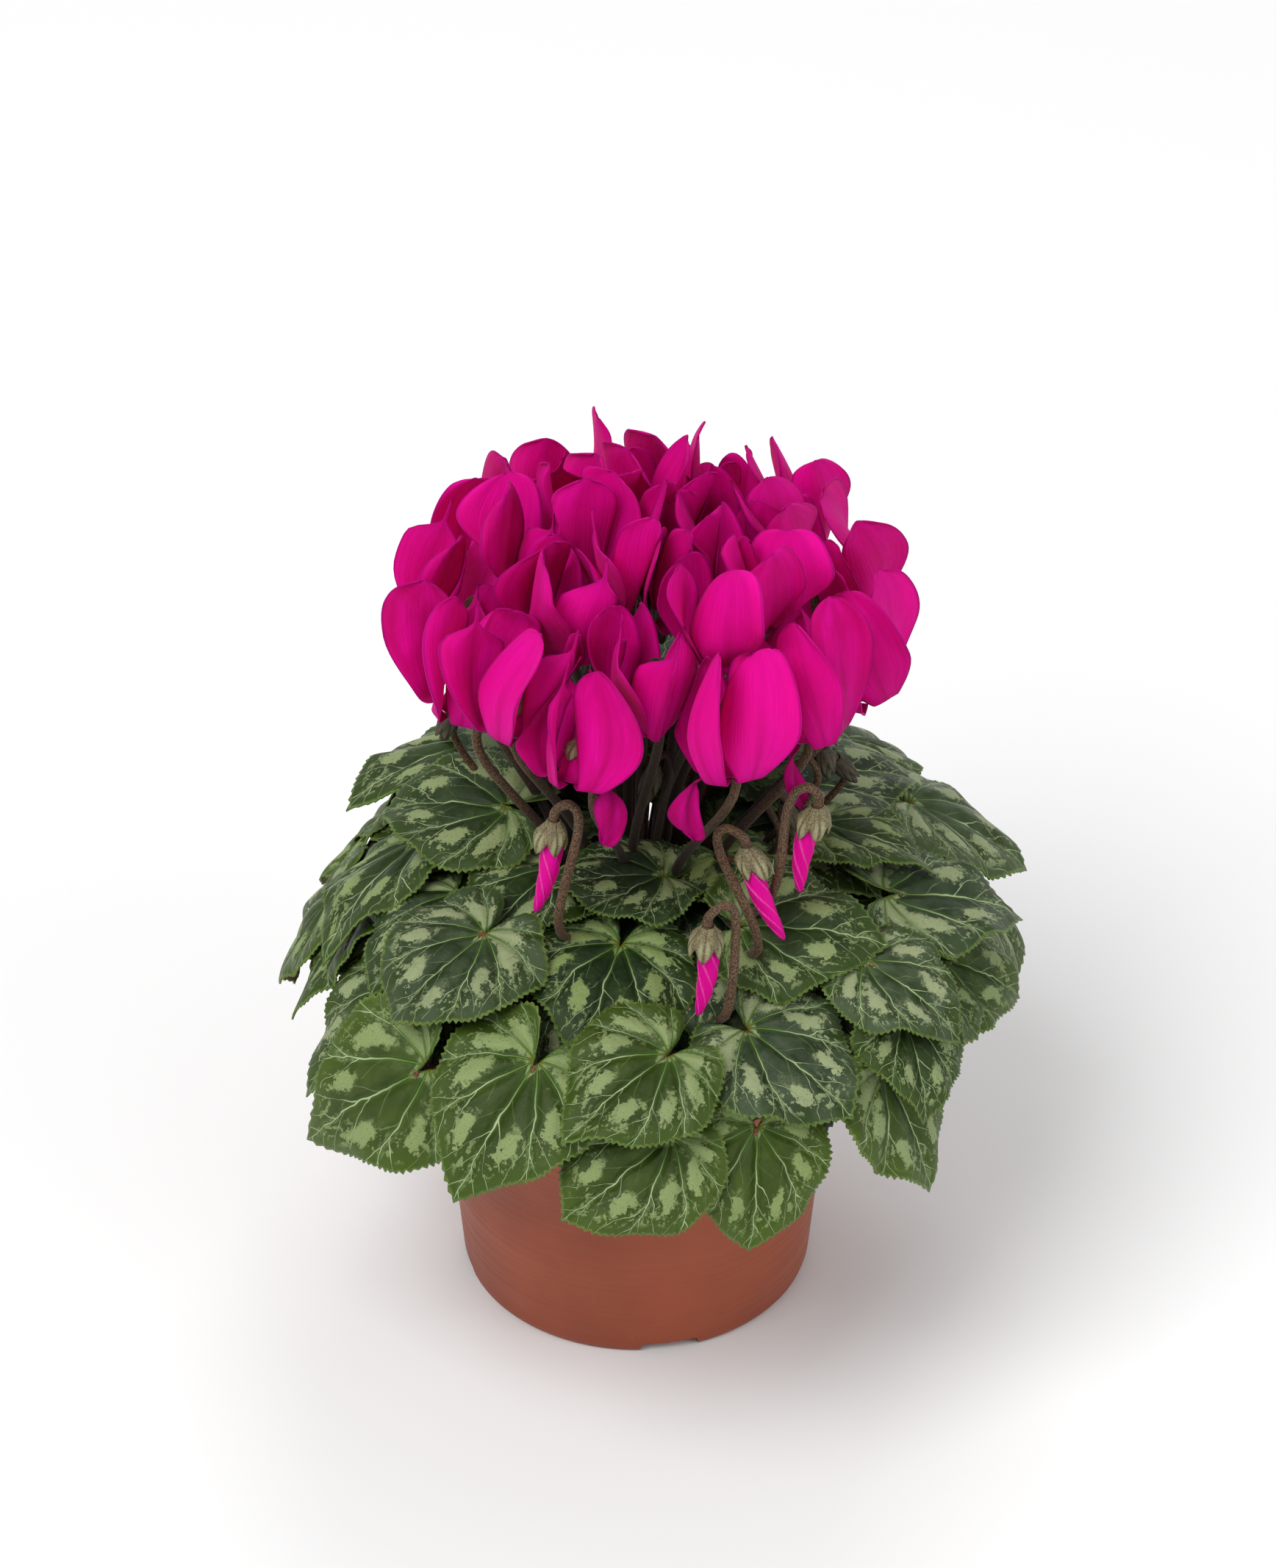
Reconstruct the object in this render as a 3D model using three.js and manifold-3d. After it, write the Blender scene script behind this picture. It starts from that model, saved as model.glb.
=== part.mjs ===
// Potted cyclamen in bloom, in millimetres, +Z up, front towards -Y, its origin under the middle
// of the pot. Heart-shaped leaves lie over each other on a low mound that hides the pot's rim, and
// a dome of nodding flowers with swept-back petals stands over them.
import * as THREE from "three";
import { mergeVertices } from "three/addons/utils/BufferGeometryUtils.js";
import Module from "manifold-3d";

const wasm = await Module();
wasm.setup();

// Driving dimensions
const GAP = 0.3; // between two solids that rest on each other
const POT = {
  facets: 32,
  baseRadius: 45,
  taper: 0.085,
  stepHeight: 77,
  step: 2,
  stepFloor: 1, // how much higher the step lies inside the pot than outside
  bandRadius: 55,
  bandFlare: 1.4,
  rimRadius: 59,
  rimHeight: 2.6,
  rimSlope: 0.9, // the height of the rim's sloping underside
  height: 93,
  wall: 1.7,
  floor: 4.6,
};
const FOOT = { ring: 6, rise: 3, bossRadius: 17, chamfer: 1, slots: 4, slotWidth: 15, slotBearing: 11 };
const DRAIN = { radius: 3.6, ring: 28, count: 6, sides: 6 };
const SOIL = { level: 81, crown: 1, crownRadius: 34 };
const TUBER = {
  facets: 16,
  radius: 21,
  topRadius: 10.5,
  baseRadius: 14.7,
  top: 87,
  dish: 1,
  depth: 14,
  shoulder: 83,
};
const MOUND = { x: 4, z: 87, radius: 96, rise: 50 }; // the surface that the leaves lie on
const LEAF = {
  thickness: 0.6,
  air: 0.3, // over and under each upper leaf
  middle: 0.24, // of its length, from the joint to the middle of its round part
  cleft: 0.64, // of its half width
  cleftSpread: 0.2, // radians
  arch: 0.07, // of its length
  earArch: 0.125, // of the arch, behind the joint
  droop: 0.1,
  wave: 1.1,
  waves: 3,
  tooth: 0.035, // of its half width
  tuck: 0.01,
  shingle: 0.05,
  innerRing: 0.55,
  rimPoints: 20,
  underRimPoints: 14,
};
const STALK = {
  radius: 1.35,
  sides: 3,
  under: 1.05, // from the blade's mid surface to the middle of the stalk's end
  joint: 0.9,
  straight: 8,
  bow: 6,
  overRim: 5,
  nearRim: 4,
  sunk: 2.5,
};
const STALK_ROOT = { nearest: 8.5, spread: 0.13, furthestDrop: 66 };
const DOME = { x: 3 }; // the axis of the flower dome
const FLOWER = {
  tubeLength: 7,
  tubeRadius: 3.1,
  mouthRadius: 4.8,
  petals: 5,
  lean: 0.36, // degrees inwards for each millimetre from the dome's axis
  stalkTurn: 0.6, // radians that the stalk is turned from the side towards the dome's axis
  heart: 15, // from the mouth to the middle of the bloom
  room: 0.8,
  softness: 2.5,
  easing: 5, // rounds
};
const FLOWER_SPREAD = { bearing: 3, height: 3, distance: 1.5, lean: 4, tilt: 7, stalkTurn: 0.2 };
const PETAL = {
  length: 35,
  width: 20,
  spacing: 63, // degrees, which leaves room for the stalk between the first and the last
  thickness: 0.7,
  rows: [0.36, 0.8],
  rootHeight: 2.1, // of the middle of its root over the mouth
  rootHalfWidth: 1.8,
  claw: 0.3, // of its width
  clawEnd: 0.06, // of its length, as the next ones
  broadest: 0.66,
  shoulder: 0.45,
  roundness: 2.6,
  bend: 0.14,
  bendLoss: 0.08,
  bendReach: 3.4,
  reflex: 1.8,
  reflexTurn: 135, // degrees
  open: 9, // degrees from the axis
  rootTwist: 8, // degrees
  twist: 56, // degrees, from root to tip
  twistEase: 0.8,
  curl: 2.2,
  tipCurl: 1.5,
};
const PETAL_SPREAD = { bearing: 2, open: 5, length: 0.07, flowerTwist: 10, twist: 6 };
const STEM = {
  radius: 1.2,
  sides: 4,
  reach: 8.4,
  below: 9,
  hook: 15.3,
  hookTurn: 6,
  hookDrop: 3.5,
  crest: 0.55, // of the reach
  bow: [0.3, 0.55], // of the way out and of the way up
  spread: 0.16,
  flare: 2.4,
  sunk: 3,
};
const BUD = {
  length: 25,
  radius: 4.3,
  groove: 0.8,
  rings: 6,
  firstRing: 0.4, // of the step between rings
  lobes: 5,
  turn: 3.4,
  fullness: 0.62,
  bluntness: 0.8,
};
const BUD_HOOK = { reach: 6.8, below: 1, top: 7, drop: 2.5, bow: 5 };
const CALYX = { points: 5, radius: 4.6, notch: 2.2, thickness: 1 };

// Materials
const terracotta = new THREE.MeshStandardMaterial({ color: 0xc4613a, roughness: 0.62, metalness: 0 });
const peat = new THREE.MeshStandardMaterial({ color: 0x2e2119, roughness: 0.98, metalness: 0 });
const stalkBrown = new THREE.MeshStandardMaterial({ color: 0x5c4630, roughness: 0.55, metalness: 0 });
const leafGreen = new THREE.MeshStandardMaterial({ color: 0x3d5b40, roughness: 0.5, metalness: 0 });
const magenta = new THREE.MeshStandardMaterial({ color: 0xcc0a86, roughness: 0.6, metalness: 0 });

const MERGED = 1e-4; // points nearer than this are one
const END_REACH = 1.01; // of a stalk's radius, which takes in the corners of its end

const plant = new THREE.Group();

// Small helpers

const radians = (degrees) => (degrees * Math.PI) / 180;
const vector = (x, y, z) => new THREE.Vector3(x, y, z);

// A repeatable random draw between -1 and 1 for the given item and purpose.
function draw(item, purpose) {
  const wild = Math.sin(item * 12.9898 + purpose * 78.233) * 43758.5453;
  return 2 * (wild - Math.floor(wild)) - 1;
}

// A solid from a closed geometry, its shared corners merged.
function solidOf(geometry) {
  const bare = geometry.clone();
  bare.deleteAttribute("normal");
  bare.deleteAttribute("uv");
  const merged = mergeVertices(bare, MERGED);
  return new wasm.Manifold(
    new wasm.Mesh({
      numProp: 3,
      vertProperties: new Float32Array(merged.attributes.position.array),
      triVerts: new Uint32Array(merged.index.array),
    }),
  );
}

// The one body that counts: loose scraps are dropped and sealed hollows are filled.
function mainBody(solid) {
  const bodies = solid.decompose();
  bodies.sort((a, b) => b.volume() - a.volume());
  return bodies[0];
}

const joined = (solids) => wasm.Manifold.union(solids);

function meet(a, b) {
  const boxA = a.boundingBox();
  const boxB = b.boundingBox();
  const apart = [0, 1, 2].some((k) => boxA.max[k] < boxB.min[k] || boxB.max[k] < boxA.min[k]);
  return !apart && !a.intersect(b).isEmpty();
}

// The solid without the room that the cutters take.
function clearOf(solid, cutters) {
  const near = cutters.filter((cutter) => meet(solid, cutter));
  return near.length ? mainBody(solid.subtract(joined(near))) : solid;
}

function add(name, solid, material) {
  const { numProp, vertProperties, triVerts } = solid.getMesh();
  const places = [];
  for (let i = 0; i < vertProperties.length; i += numProp) {
    places.push(vertProperties[i], vertProperties[i + 1], vertProperties[i + 2]);
  }
  const geometry = new THREE.BufferGeometry();
  geometry.setAttribute("position", new THREE.Float32BufferAttribute(places, 3));
  geometry.setIndex(Array.from(triVerts));
  geometry.computeVertexNormals();
  const mesh = new THREE.Mesh(geometry, material);
  mesh.name = name;
  plant.add(mesh);
}

// A body of revolution about Z from [radius, height] pairs that run up its outside.
function turned(profile, facets) {
  const points = profile.map(([radius, height]) => new THREE.Vector2(radius, height));
  return solidOf(new THREE.LatheGeometry(points, facets).rotateX(Math.PI / 2));
}

// A smooth path that is stepped along from control point to control point.
class StalkPath extends THREE.CatmullRomCurve3 {
  getUtoTmapping(u) {
    return u;
  }
}

// A stalk of even thickness through the points of its path, its end widened by a factor.
function rod(path, radius, sides, flare = 1) {
  const corners = [];
  for (let i = 0; i < sides; i += 1) {
    const angle = (2 * Math.PI * i) / sides;
    corners.push(new THREE.Vector2(radius * Math.cos(angle), radius * Math.sin(angle)));
  }
  const extrudePath = new StalkPath(path, false, "centripetal");
  const form = { steps: path.length - 1, bevelEnabled: false, extrudePath };
  const stalk = new THREE.ExtrudeGeometry(new THREE.Shape(corners), form);
  const end = path[path.length - 1];
  const { position } = stalk.attributes;
  for (let i = 0; i < position.count; i += 1) {
    const place = vector(0, 0, 0).fromBufferAttribute(position, i);
    if (place.distanceTo(end) > END_REACH * radius) continue;
    place.sub(end).multiplyScalar(flare).add(end);
    position.setXYZ(i, place.x, place.y, place.z);
  }
  return solidOf(stalk);
}

// The normal at each point of a surface, from the triangles that meet there.
function pointNormals(points, faces) {
  const normals = points.map(() => vector(0, 0, 0));
  for (const [a, b, c] of faces) {
    const across = points[b].clone().sub(points[a]);
    const normal = across.cross(points[c].clone().sub(points[a]));
    for (const corner of [a, b, c]) normals[corner].add(normal);
  }
  return normals.map((normal) => normal.normalize());
}

// A blade of even thickness about a mid surface. Both faces have the same triangles, which run
// anticlockwise seen from above, and edge lists the rim's points in that order.
function blade(points, faces, edge, thickness) {
  const normals = pointNormals(points, faces);
  const places = [];
  for (const side of [0.5, -0.5]) {
    points.forEach((point, i) => {
      const place = point.clone().addScaledVector(normals[i], side * thickness);
      places.push(place.x, place.y, place.z);
    });
  }
  const below = points.length;
  const index = [];
  for (const [a, b, c] of faces) index.push(a, b, c, below + a, below + c, below + b);
  edge.forEach((a, i) => {
    const b = edge[(i + 1) % edge.length];
    index.push(a, below + a, below + b, a, below + b, b);
  });
  const geometry = new THREE.BufferGeometry();
  geometry.setAttribute("position", new THREE.Float32BufferAttribute(places, 3));
  geometry.setIndex(index);
  return solidOf(geometry);
}

// Pot: a tapered wall with a stepped band and a rolled rim, standing on a foot ring and a boss.
function makePot() {
  const { baseRadius, stepHeight, bandRadius, rimRadius, height, wall, floor } = POT;
  const stepRadius = baseRadius + POT.taper * stepHeight;
  const underRim = height - POT.rimHeight;
  const outside = [
    [0, 0],
    [FOOT.bossRadius, 0],
    [FOOT.bossRadius + FOOT.chamfer, FOOT.rise],
    [baseRadius - FOOT.ring, FOOT.rise],
    [baseRadius - FOOT.ring + FOOT.chamfer, 0],
    [baseRadius, 0],
    [stepRadius, stepHeight],
    [bandRadius, stepHeight + POT.step],
    [bandRadius + POT.bandFlare, underRim - POT.rimSlope],
    [rimRadius, underRim],
    [rimRadius, height],
  ];
  const inside = [
    [bandRadius + POT.bandFlare - wall, height],
    [bandRadius - wall, stepHeight + POT.step + POT.stepFloor],
    [stepRadius - wall, stepHeight + POT.stepFloor],
    [baseRadius - wall, floor],
    [0, floor],
  ];
  let pot = turned([...outside, ...inside], POT.facets);
  for (let i = 0; i < FOOT.slots; i += 1) {
    const slot = new THREE.BoxGeometry(FOOT.slotWidth, 3 * FOOT.ring, 2 * FOOT.rise);
    slot.translate(0, -baseRadius, 0);
    slot.rotateZ(radians(FOOT.slotBearing + (360 * i) / FOOT.slots));
    pot = pot.subtract(solidOf(slot));
  }
  for (let i = 0; i < DRAIN.count; i += 1) {
    const hole = new THREE.CylinderGeometry(DRAIN.radius, DRAIN.radius, 4 * floor, DRAIN.sides);
    hole.rotateX(Math.PI / 2);
    hole.translate(DRAIN.ring, 0, 0);
    hole.rotateZ((2 * Math.PI * (i + 0.5)) / DRAIN.count);
    pot = pot.subtract(solidOf(hole));
  }
  return pot;
}

// Soil: fills the pot to a little under its rim, with the hollow that the tuber sits in.
function makeSoil() {
  const outer = (height) => POT.baseRadius - POT.wall - GAP + POT.taper * (height - POT.floor);
  const bandRadius = POT.bandRadius - POT.wall - GAP;
  const step = POT.stepHeight + POT.stepFloor + GAP;
  const bed = TUBER.top - TUBER.depth - GAP;
  return turned(
    [
      [0, POT.floor + GAP],
      [outer(POT.floor), POT.floor + GAP],
      [outer(step), step],
      [bandRadius, step + POT.step],
      [bandRadius, SOIL.level],
      [SOIL.crownRadius, SOIL.level + SOIL.crown],
      [TUBER.radius + GAP, SOIL.level + SOIL.crown],
      [TUBER.baseRadius + GAP, bed],
      [0, bed],
    ],
    POT.facets,
  );
}

// The height of the tuber's upper side at a distance from its middle.
function tuberTop(distance) {
  const slope = (TUBER.top - TUBER.shoulder) / (TUBER.radius - TUBER.topRadius);
  return TUBER.top - slope * Math.max(0, distance - TUBER.topRadius);
}

// Tuber: a flat corky disc, its crown dished a little, half sunk in the soil.
function makeTuber() {
  return turned(
    [
      [0, TUBER.top - TUBER.depth],
      [TUBER.baseRadius - GAP, TUBER.top - TUBER.depth],
      [TUBER.radius - GAP, TUBER.shoulder],
      [TUBER.topRadius, TUBER.top],
      [0, TUBER.top - TUBER.dish],
    ],
    TUBER.facets,
  );
}

// Leaves

// A place on the mound: a bearing round it from the front, a drop from its top, and a layer that
// is 1 on the mound's own surface, less under it and more over it.
function onMound(bearing, drop, layer) {
  const round = MOUND.radius * Math.sin(radians(drop));
  return vector(
    MOUND.x + layer * round * Math.sin(radians(bearing)),
    -layer * round * Math.cos(radians(bearing)),
    MOUND.z + layer * MOUND.rise * Math.cos(radians(drop)),
  );
}

// Each leaf: bearing and drop of its stalk's joint, bearing and drop of its tip, layer, half
// width, and roll about its midrib in degrees. Each list runs from the lowest leaf up.
const UNDER_FRONT = [
  [73, 58, 83, 86, 0.93, 18, 10],
  [133, 40, 128, 60, 0.95, 18, -10],
  [-83, 56, -74, 82, 0.93, 17, 20],
  [-22, 38, -13, 58, 0.92, 16, 5],
  [32, 44, 38, 66, 0.91, 17, -5],
  [109, 20, 74, 40, 0.92, 18, 8],
  [-89, 25, -73, 42, 0.92, 16, -8],
  [22, 26, 9, 46, 0.94, 16, 6],
  [150, 18, 165, 38, 0.94, 17, 0],
];
const FRONT = [
  [17, 66, 14, 100, 0.99, 19, 0],
  [42, 64, 45, 104, 0.98, 19, -12],
  [3, 66, -13, 87, 0.99, 20, 5],
  [-56, 51, -59, 85, 0.99, 20, 6],
  [-39, 60, -57, 97, 1.02, 22, -6],
  [-20, 52, -27, 85, 1.03, 22, 0],
  [50, 56, 42, 76, 1, 16, 0],
  [-131, 36, -104, 50, 1.02, 19, -4],
  [-95, 37, -72, 58, 1.01, 20, 8],
  [69, 38, 87, 66, 1.01, 20, -8],
  [48, 43, 53, 65, 1.02, 17, 0],
  [19, 45, 31, 67, 1.02, 20, -4],
  [3, 49, -13, 66, 1.04, 19, 4],
  [-42, 36, -45, 57, 1.03, 21, 0],
  [-67, 32, -56, 54, 1.04, 18, 4],
  [-52, 18, -44, 38, 1.02, 18, 0],
  [85, 24, 81, 43, 1.03, 16, -6],
  [27, 27, 55, 43, 1.03, 20, 6],
  [52, 13, 43, 33, 1.03, 17, 0],
  [-10, 27, -13, 48, 1.04, 21, -4],
  [6, 14, -40, 22, 1.06, 17, 6],
  [-86, 20, -97, 40, 1.05, 21, -6],
];

// The back of the mound, out of step with itself by seeded draws: rings of [count, first bearing,
// last bearing, joint's drop, tip's drop, layer, half width].
const UNDER_BACK_RING = [8, 100, 262, 62, 96, 0.95, 20];
const BACK_RINGS = [
  [5, 112, 222, 46, 76, 0.99, 21],
  [3, 122, 216, 22, 46, 1.02, 21],
];
const BACK_SPREAD = { bearing: 3, drop: 2.5, tipBearing: 8, width: 1, roll: 9 };

function ringOfLeaves([count, first, last, jointDrop, tipDrop, layer, width], seed) {
  const leaves = [];
  for (let i = 0; i < count; i += 1) {
    const item = seed + i;
    const even = first + ((last - first) * i) / (count - 1);
    const bearing = even + BACK_SPREAD.bearing * draw(item, 1);
    const drop = BACK_SPREAD.drop * draw(item, 2);
    leaves.push([
      bearing,
      jointDrop + drop,
      bearing + BACK_SPREAD.tipBearing * draw(item, 3),
      tipDrop + drop,
      layer,
      width + BACK_SPREAD.width * draw(item, 4),
      BACK_SPREAD.roll * draw(item, 5),
    ]);
  }
  return leaves;
}

const UNDER_LEAVES = [...ringOfLeaves(UNDER_BACK_RING, 100), ...UNDER_FRONT];
const TOP_LEAVES = [
  ...ringOfLeaves(BACK_RINGS[0], 200),
  ...ringOfLeaves(BACK_RINGS[1], 300),
  ...FRONT,
];

// The leaf's own frame: joint, direction to the tip, direction across, upward normal.
function leafFrame([jointBearing, jointDrop, tipBearing, tipDrop, layer, , roll]) {
  const joint = onMound(jointBearing, jointDrop, layer - LEAF.tuck);
  const tip = onMound(tipBearing, tipDrop, layer + LEAF.shingle);
  const along = tip.clone().sub(joint);
  const length = along.length();
  along.normalize();
  const middle = joint.clone().lerp(tip, 0.5);
  const normal = vector(
    (middle.x - MOUND.x) / MOUND.radius ** 2,
    middle.y / MOUND.radius ** 2,
    (middle.z - MOUND.z) / MOUND.rise ** 2,
  );
  normal.addScaledVector(along, -normal.dot(along)).normalize();
  normal.applyAxisAngle(along, radians(roll));
  return { joint, along, across: along.clone().cross(normal), normal, length };
}

// A point of the leaf's mid surface: part of the way from its middle to its rim, in a direction
// that turns from the tip. The rim is round, with two straight sides that meet at the tip, and a
// narrow cleft at the stalk.
function leafPoint(frame, halfWidth, part, turn, edge, item) {
  const { joint, along, across, normal, length } = frame;
  const middle = LEAF.middle * length;
  const back = Math.PI - Math.abs(turn);
  const slant = Math.asin(halfWidth / (length - middle));
  const side = halfWidth / Math.sin(Math.min(slant + Math.abs(turn), Math.PI / 2));
  const cleft = 1 - LEAF.cleft * Math.exp(-((back / LEAF.cleftSpread) ** 2));
  const reach = part * side * cleft * edge;
  const u = reach * Math.sin(turn);
  const v = middle + reach * Math.cos(turn);
  const t = v / length;
  const arch = 4 * (t < 0 ? LEAF.earArch : 1) * LEAF.arch * length * t * (1 - t);
  const droop = (LEAF.droop * u * u) / halfWidth;
  const wave = LEAF.wave * part * part * Math.sin(LEAF.waves * (turn + draw(item, 6)));
  const place = joint.clone().addScaledVector(across, u).addScaledVector(along, v);
  return place.addScaledVector(normal, arch - droop + wave);
}

// A leaf blade in two rings round its middle, with an even number of points on its toothed rim.
function leafBlade(leaf, item, rimPoints, thickness) {
  const frame = leafFrame(leaf);
  const innerPoints = rimPoints / 2;
  const place = (part, turn, edge) => leafPoint(frame, leaf[5], part, turn, edge, item);
  const points = [place(0, 0, 1)];
  const faces = [];
  const edge = [];
  for (let i = 0; i < innerPoints; i += 1) {
    points.push(place(LEAF.innerRing, Math.PI - (2 * Math.PI * i) / innerPoints, 1));
  }
  for (let i = 0; i < rimPoints; i += 1) {
    const tooth = i % 2 ? 1 - LEAF.tooth : 1 + LEAF.tooth;
    points.push(place(1, Math.PI - (2 * Math.PI * i) / rimPoints, tooth));
    edge.push(1 + innerPoints + i);
  }
  for (let i = 0; i < innerPoints; i += 1) {
    const here = 1 + i;
    const next = 1 + ((i + 1) % innerPoints);
    const rim = 1 + innerPoints + 2 * i;
    const last = 1 + innerPoints + ((2 * i + 2) % rimPoints);
    faces.push([0, here, next], [here, rim, rim + 1], [here, rim + 1, next], [next, rim + 1, last]);
  }
  return blade(points, faces, edge, thickness);
}

// The stalk from the tuber to the underside of a leaf at the end of its cleft, arched over the
// pot's rim. Stalks of lower leaves grow further out on the tuber and don't cross the others.
function leafStalk(leaf, item, lift, radius) {
  const frame = leafFrame(leaf);
  const end = leafPoint(frame, leaf[5], STALK.joint, Math.PI, 1, item);
  end.addScaledVector(frame.normal, lift - STALK.under);
  const bearing = Math.atan2(frame.joint.y, frame.joint.x - MOUND.x);
  const root = STALK_ROOT.nearest + STALK_ROOT.spread * Math.min(leaf[1], STALK_ROOT.furthestDrop);
  const start = vector(root * Math.cos(bearing), root * Math.sin(bearing), tuberTop(root) - STALK.sunk);
  const below = end.clone().addScaledVector(frame.normal, -STALK.straight);
  const over = start.clone().lerp(below, 0.5);
  over.z = Math.max(over.z + STALK.bow, POT.height + STALK.overRim);
  below.z = Math.max(below.z, POT.height + STALK.nearRim);
  return rod([start, over, below, end], radius, STALK.sides);
}

// Flowers

// Each flower: bearing and distance of its mouth from the dome's axis, and the mouth's height.
const FLOWERS = [
  [-68, 48, 184],
  [-44, 48, 191],
  [-23, 50, 184],
  [21, 50, 185],
  [51, 51, 185],
  [81, 53, 181],
  [110, 50, 187],
  [140, 50, 187],
  [170, 49, 186],
  [200, 50, 186],
  [231, 50, 186],
  [262, 49, 187],
  [-50, 27, 200],
  [-2, 34, 192],
  [38, 28, 199],
  [80, 30, 200],
  [122, 28, 200],
  [168, 28, 199],
  [214, 28, 200],
  [262, 28, 201],
  [60, 9, 205],
  [180, 10, 205],
  [-60, 10, 206],
];

// The flower's frame: mouth, axis up through its tube, direction of its stalk, third direction. The
// flowers lean in over the dome, the outer ones most.
function flowerFrame([bearing, distance, height], item) {
  const angle = radians(bearing + FLOWER_SPREAD.bearing * draw(item, 13));
  const outward = vector(Math.sin(angle), -Math.cos(angle), 0);
  const mouth = vector(DOME.x, 0, height + FLOWER_SPREAD.height * draw(item, 17));
  mouth.addScaledVector(outward, distance + FLOWER_SPREAD.distance * draw(item, 16));
  const lean = radians(FLOWER.lean * distance + FLOWER_SPREAD.lean * draw(item, 14));
  const axis = vector(0, 0, Math.cos(lean)).addScaledVector(outward, -Math.sin(lean));
  axis.applyAxisAngle(outward, radians(FLOWER_SPREAD.tilt * draw(item, 15)));
  const stalkSide = outward.clone().negate().addScaledVector(axis, outward.dot(axis)).normalize();
  const toOneSide = Math.sign(draw(item, 8)) * FLOWER.stalkTurn;
  stalkSide.applyAxisAngle(axis, toOneSide + FLOWER_SPREAD.stalkTurn * draw(item, 7));
  return { mouth, axis, stalkSide, third: axis.clone().cross(stalkSide) };
}

const flowerFrames = FLOWERS.map((row, i) => flowerFrame(row, i));
const flowerCentres = flowerFrames.map(({ mouth, axis }) =>
  mouth.clone().addScaledVector(axis, FLOWER.heart),
);

// How far a point lies on its own flower's side of the plane midway to another flower, and the
// direction across that plane.
function ownSide(point, own, other) {
  const apart = flowerCentres[other].clone().sub(flowerCentres[own]);
  const distance = apart.length();
  apart.normalize();
  const reach = point.clone().sub(flowerCentres[own]).dot(apart);
  return { apart, room: distance / 2 - FLOWER.room - reach };
}

// Petals press against the next flower's and don't cross them: a point near or past a plane midway
// between two flowers is eased back softly, and then held on its own side of all of them.
function easeBack(point, own) {
  for (let pass = 0; pass < FLOWER.easing; pass += 1) {
    flowerCentres.forEach((_, other) => {
      if (other === own) return;
      const { apart, room } = ownSide(point, own, other);
      const soft = FLOWER.softness * Math.log1p(Math.exp(room / FLOWER.softness));
      point.addScaledVector(apart, pass === 0 ? room - soft : Math.min(room, 0));
    });
  }
  return point;
}

// Half the petal's width, part of the way along it: a narrow claw, a broad blade, a round point.
function petalHalfWidth(part) {
  const widening = THREE.MathUtils.smoothstep(part, PETAL.clawEnd, PETAL.broadest);
  const claw = PETAL.claw + (1 - PETAL.claw) * widening;
  const pastShoulder = Math.max(0, (part - PETAL.shoulder) / (1 - PETAL.shoulder));
  return (PETAL.width / 2) * claw * Math.sqrt(1 - pastShoulder ** PETAL.roundness);
}

// A point of a petal's mid surface: part of the way along it and across it, from -1 to 1.
function petalPoint(frame, petal, flower, part, across) {
  const { mouth, axis, stalkSide, third } = frame;
  const item = 10 * flower + petal;
  const bearing = PETAL.spacing * (petal - (FLOWER.petals - 1) / 2) + PETAL_SPREAD.bearing * draw(item, 9);
  const angle = Math.PI + radians(bearing);
  const out = stalkSide.clone().multiplyScalar(Math.cos(angle)).addScaledVector(third, Math.sin(angle));
  const side = axis.clone().cross(out);
  const open = radians(PETAL.open + PETAL_SPREAD.open * draw(item, 10));
  const length = PETAL.length * (1 + PETAL_SPREAD.length * draw(item, 11));
  const bend = Math.min(part / PETAL.bend, 1);
  const run = Math.max(part - PETAL.bendLoss, 0) * length;
  const bendReach = PETAL.bendReach * Math.sin((bend * Math.PI) / 2);
  const radial = FLOWER.mouthRadius - 1 + bendReach + run * Math.sin(open);
  const rise = run * Math.cos(open) - PETAL.reflex * Math.sin(bend * radians(PETAL.reflexTurn));
  const curl = PETAL.curl * Math.sin(Math.PI * part) - PETAL.tipCurl * part * part;
  const flowerTwist = PETAL_SPREAD.flowerTwist * draw(flower, 12);
  const mostTwist = PETAL.twist + flowerTwist + PETAL_SPREAD.twist * draw(item, 12);
  const twist = radians(PETAL.rootTwist + mostTwist * part ** PETAL.twistEase);
  const width = petalHalfWidth(part) * across;
  const point = mouth.clone().addScaledVector(out, radial + curl + width * Math.sin(twist));
  return point.addScaledVector(axis, rise).addScaledVector(side, width * Math.cos(twist));
}

// A petal's mid surface behind its root: two rows of three points and a tip, the triangles that
// join them to the two points of the root, and the rim from the root's right round to its left.
const PETAL_FACES = [
  [0, 3, 2],
  [0, 1, 3],
  [1, 4, 3],
  [2, 3, 6],
  [2, 6, 5],
  [3, 4, 7],
  [3, 7, 6],
  [5, 6, 8],
  [6, 7, 8],
];
const PETAL_RIM = [1, 4, 7, 8, 5, 2, 0];

// The outer and the inner face of a petal that grows from the middle of one side of the tube.
function petalFaces(frame, petal, flower, outward) {
  const { mouth, axis } = frame;
  const side = axis.clone().cross(outward);
  const slope = (FLOWER.tubeRadius - FLOWER.mouthRadius) / FLOWER.tubeLength;
  const root = (across, height) => {
    const depth = (FLOWER.mouthRadius + slope * height) * Math.cos(Math.PI / FLOWER.petals);
    const place = mouth.clone().addScaledVector(axis, height).addScaledVector(outward, depth);
    return place.addScaledVector(side, across * PETAL.rootHalfWidth);
  };
  const place = (part, across) =>
    easeBack(petalPoint(frame, petal, flower, part, across), flower);
  const far = PETAL.rows.flatMap((part) => [-1, 0, 1].map((across) => place(part, across)));
  far.push(place(1, 0));
  const middle = [root(-1, PETAL.rootHeight), root(1, PETAL.rootHeight), ...far];
  const normals = pointNormals(middle, PETAL_FACES);
  return [1, -1].map((sign) => {
    const shift = (sign * PETAL.thickness) / 2;
    const nearPoints = [-1, 1].map((across) => root(across, PETAL.rootHeight - shift));
    const farPoints = far.map((point, i) => point.clone().addScaledVector(normals[i + 2], shift));
    return [...nearPoints, ...farPoints];
  });
}

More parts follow.
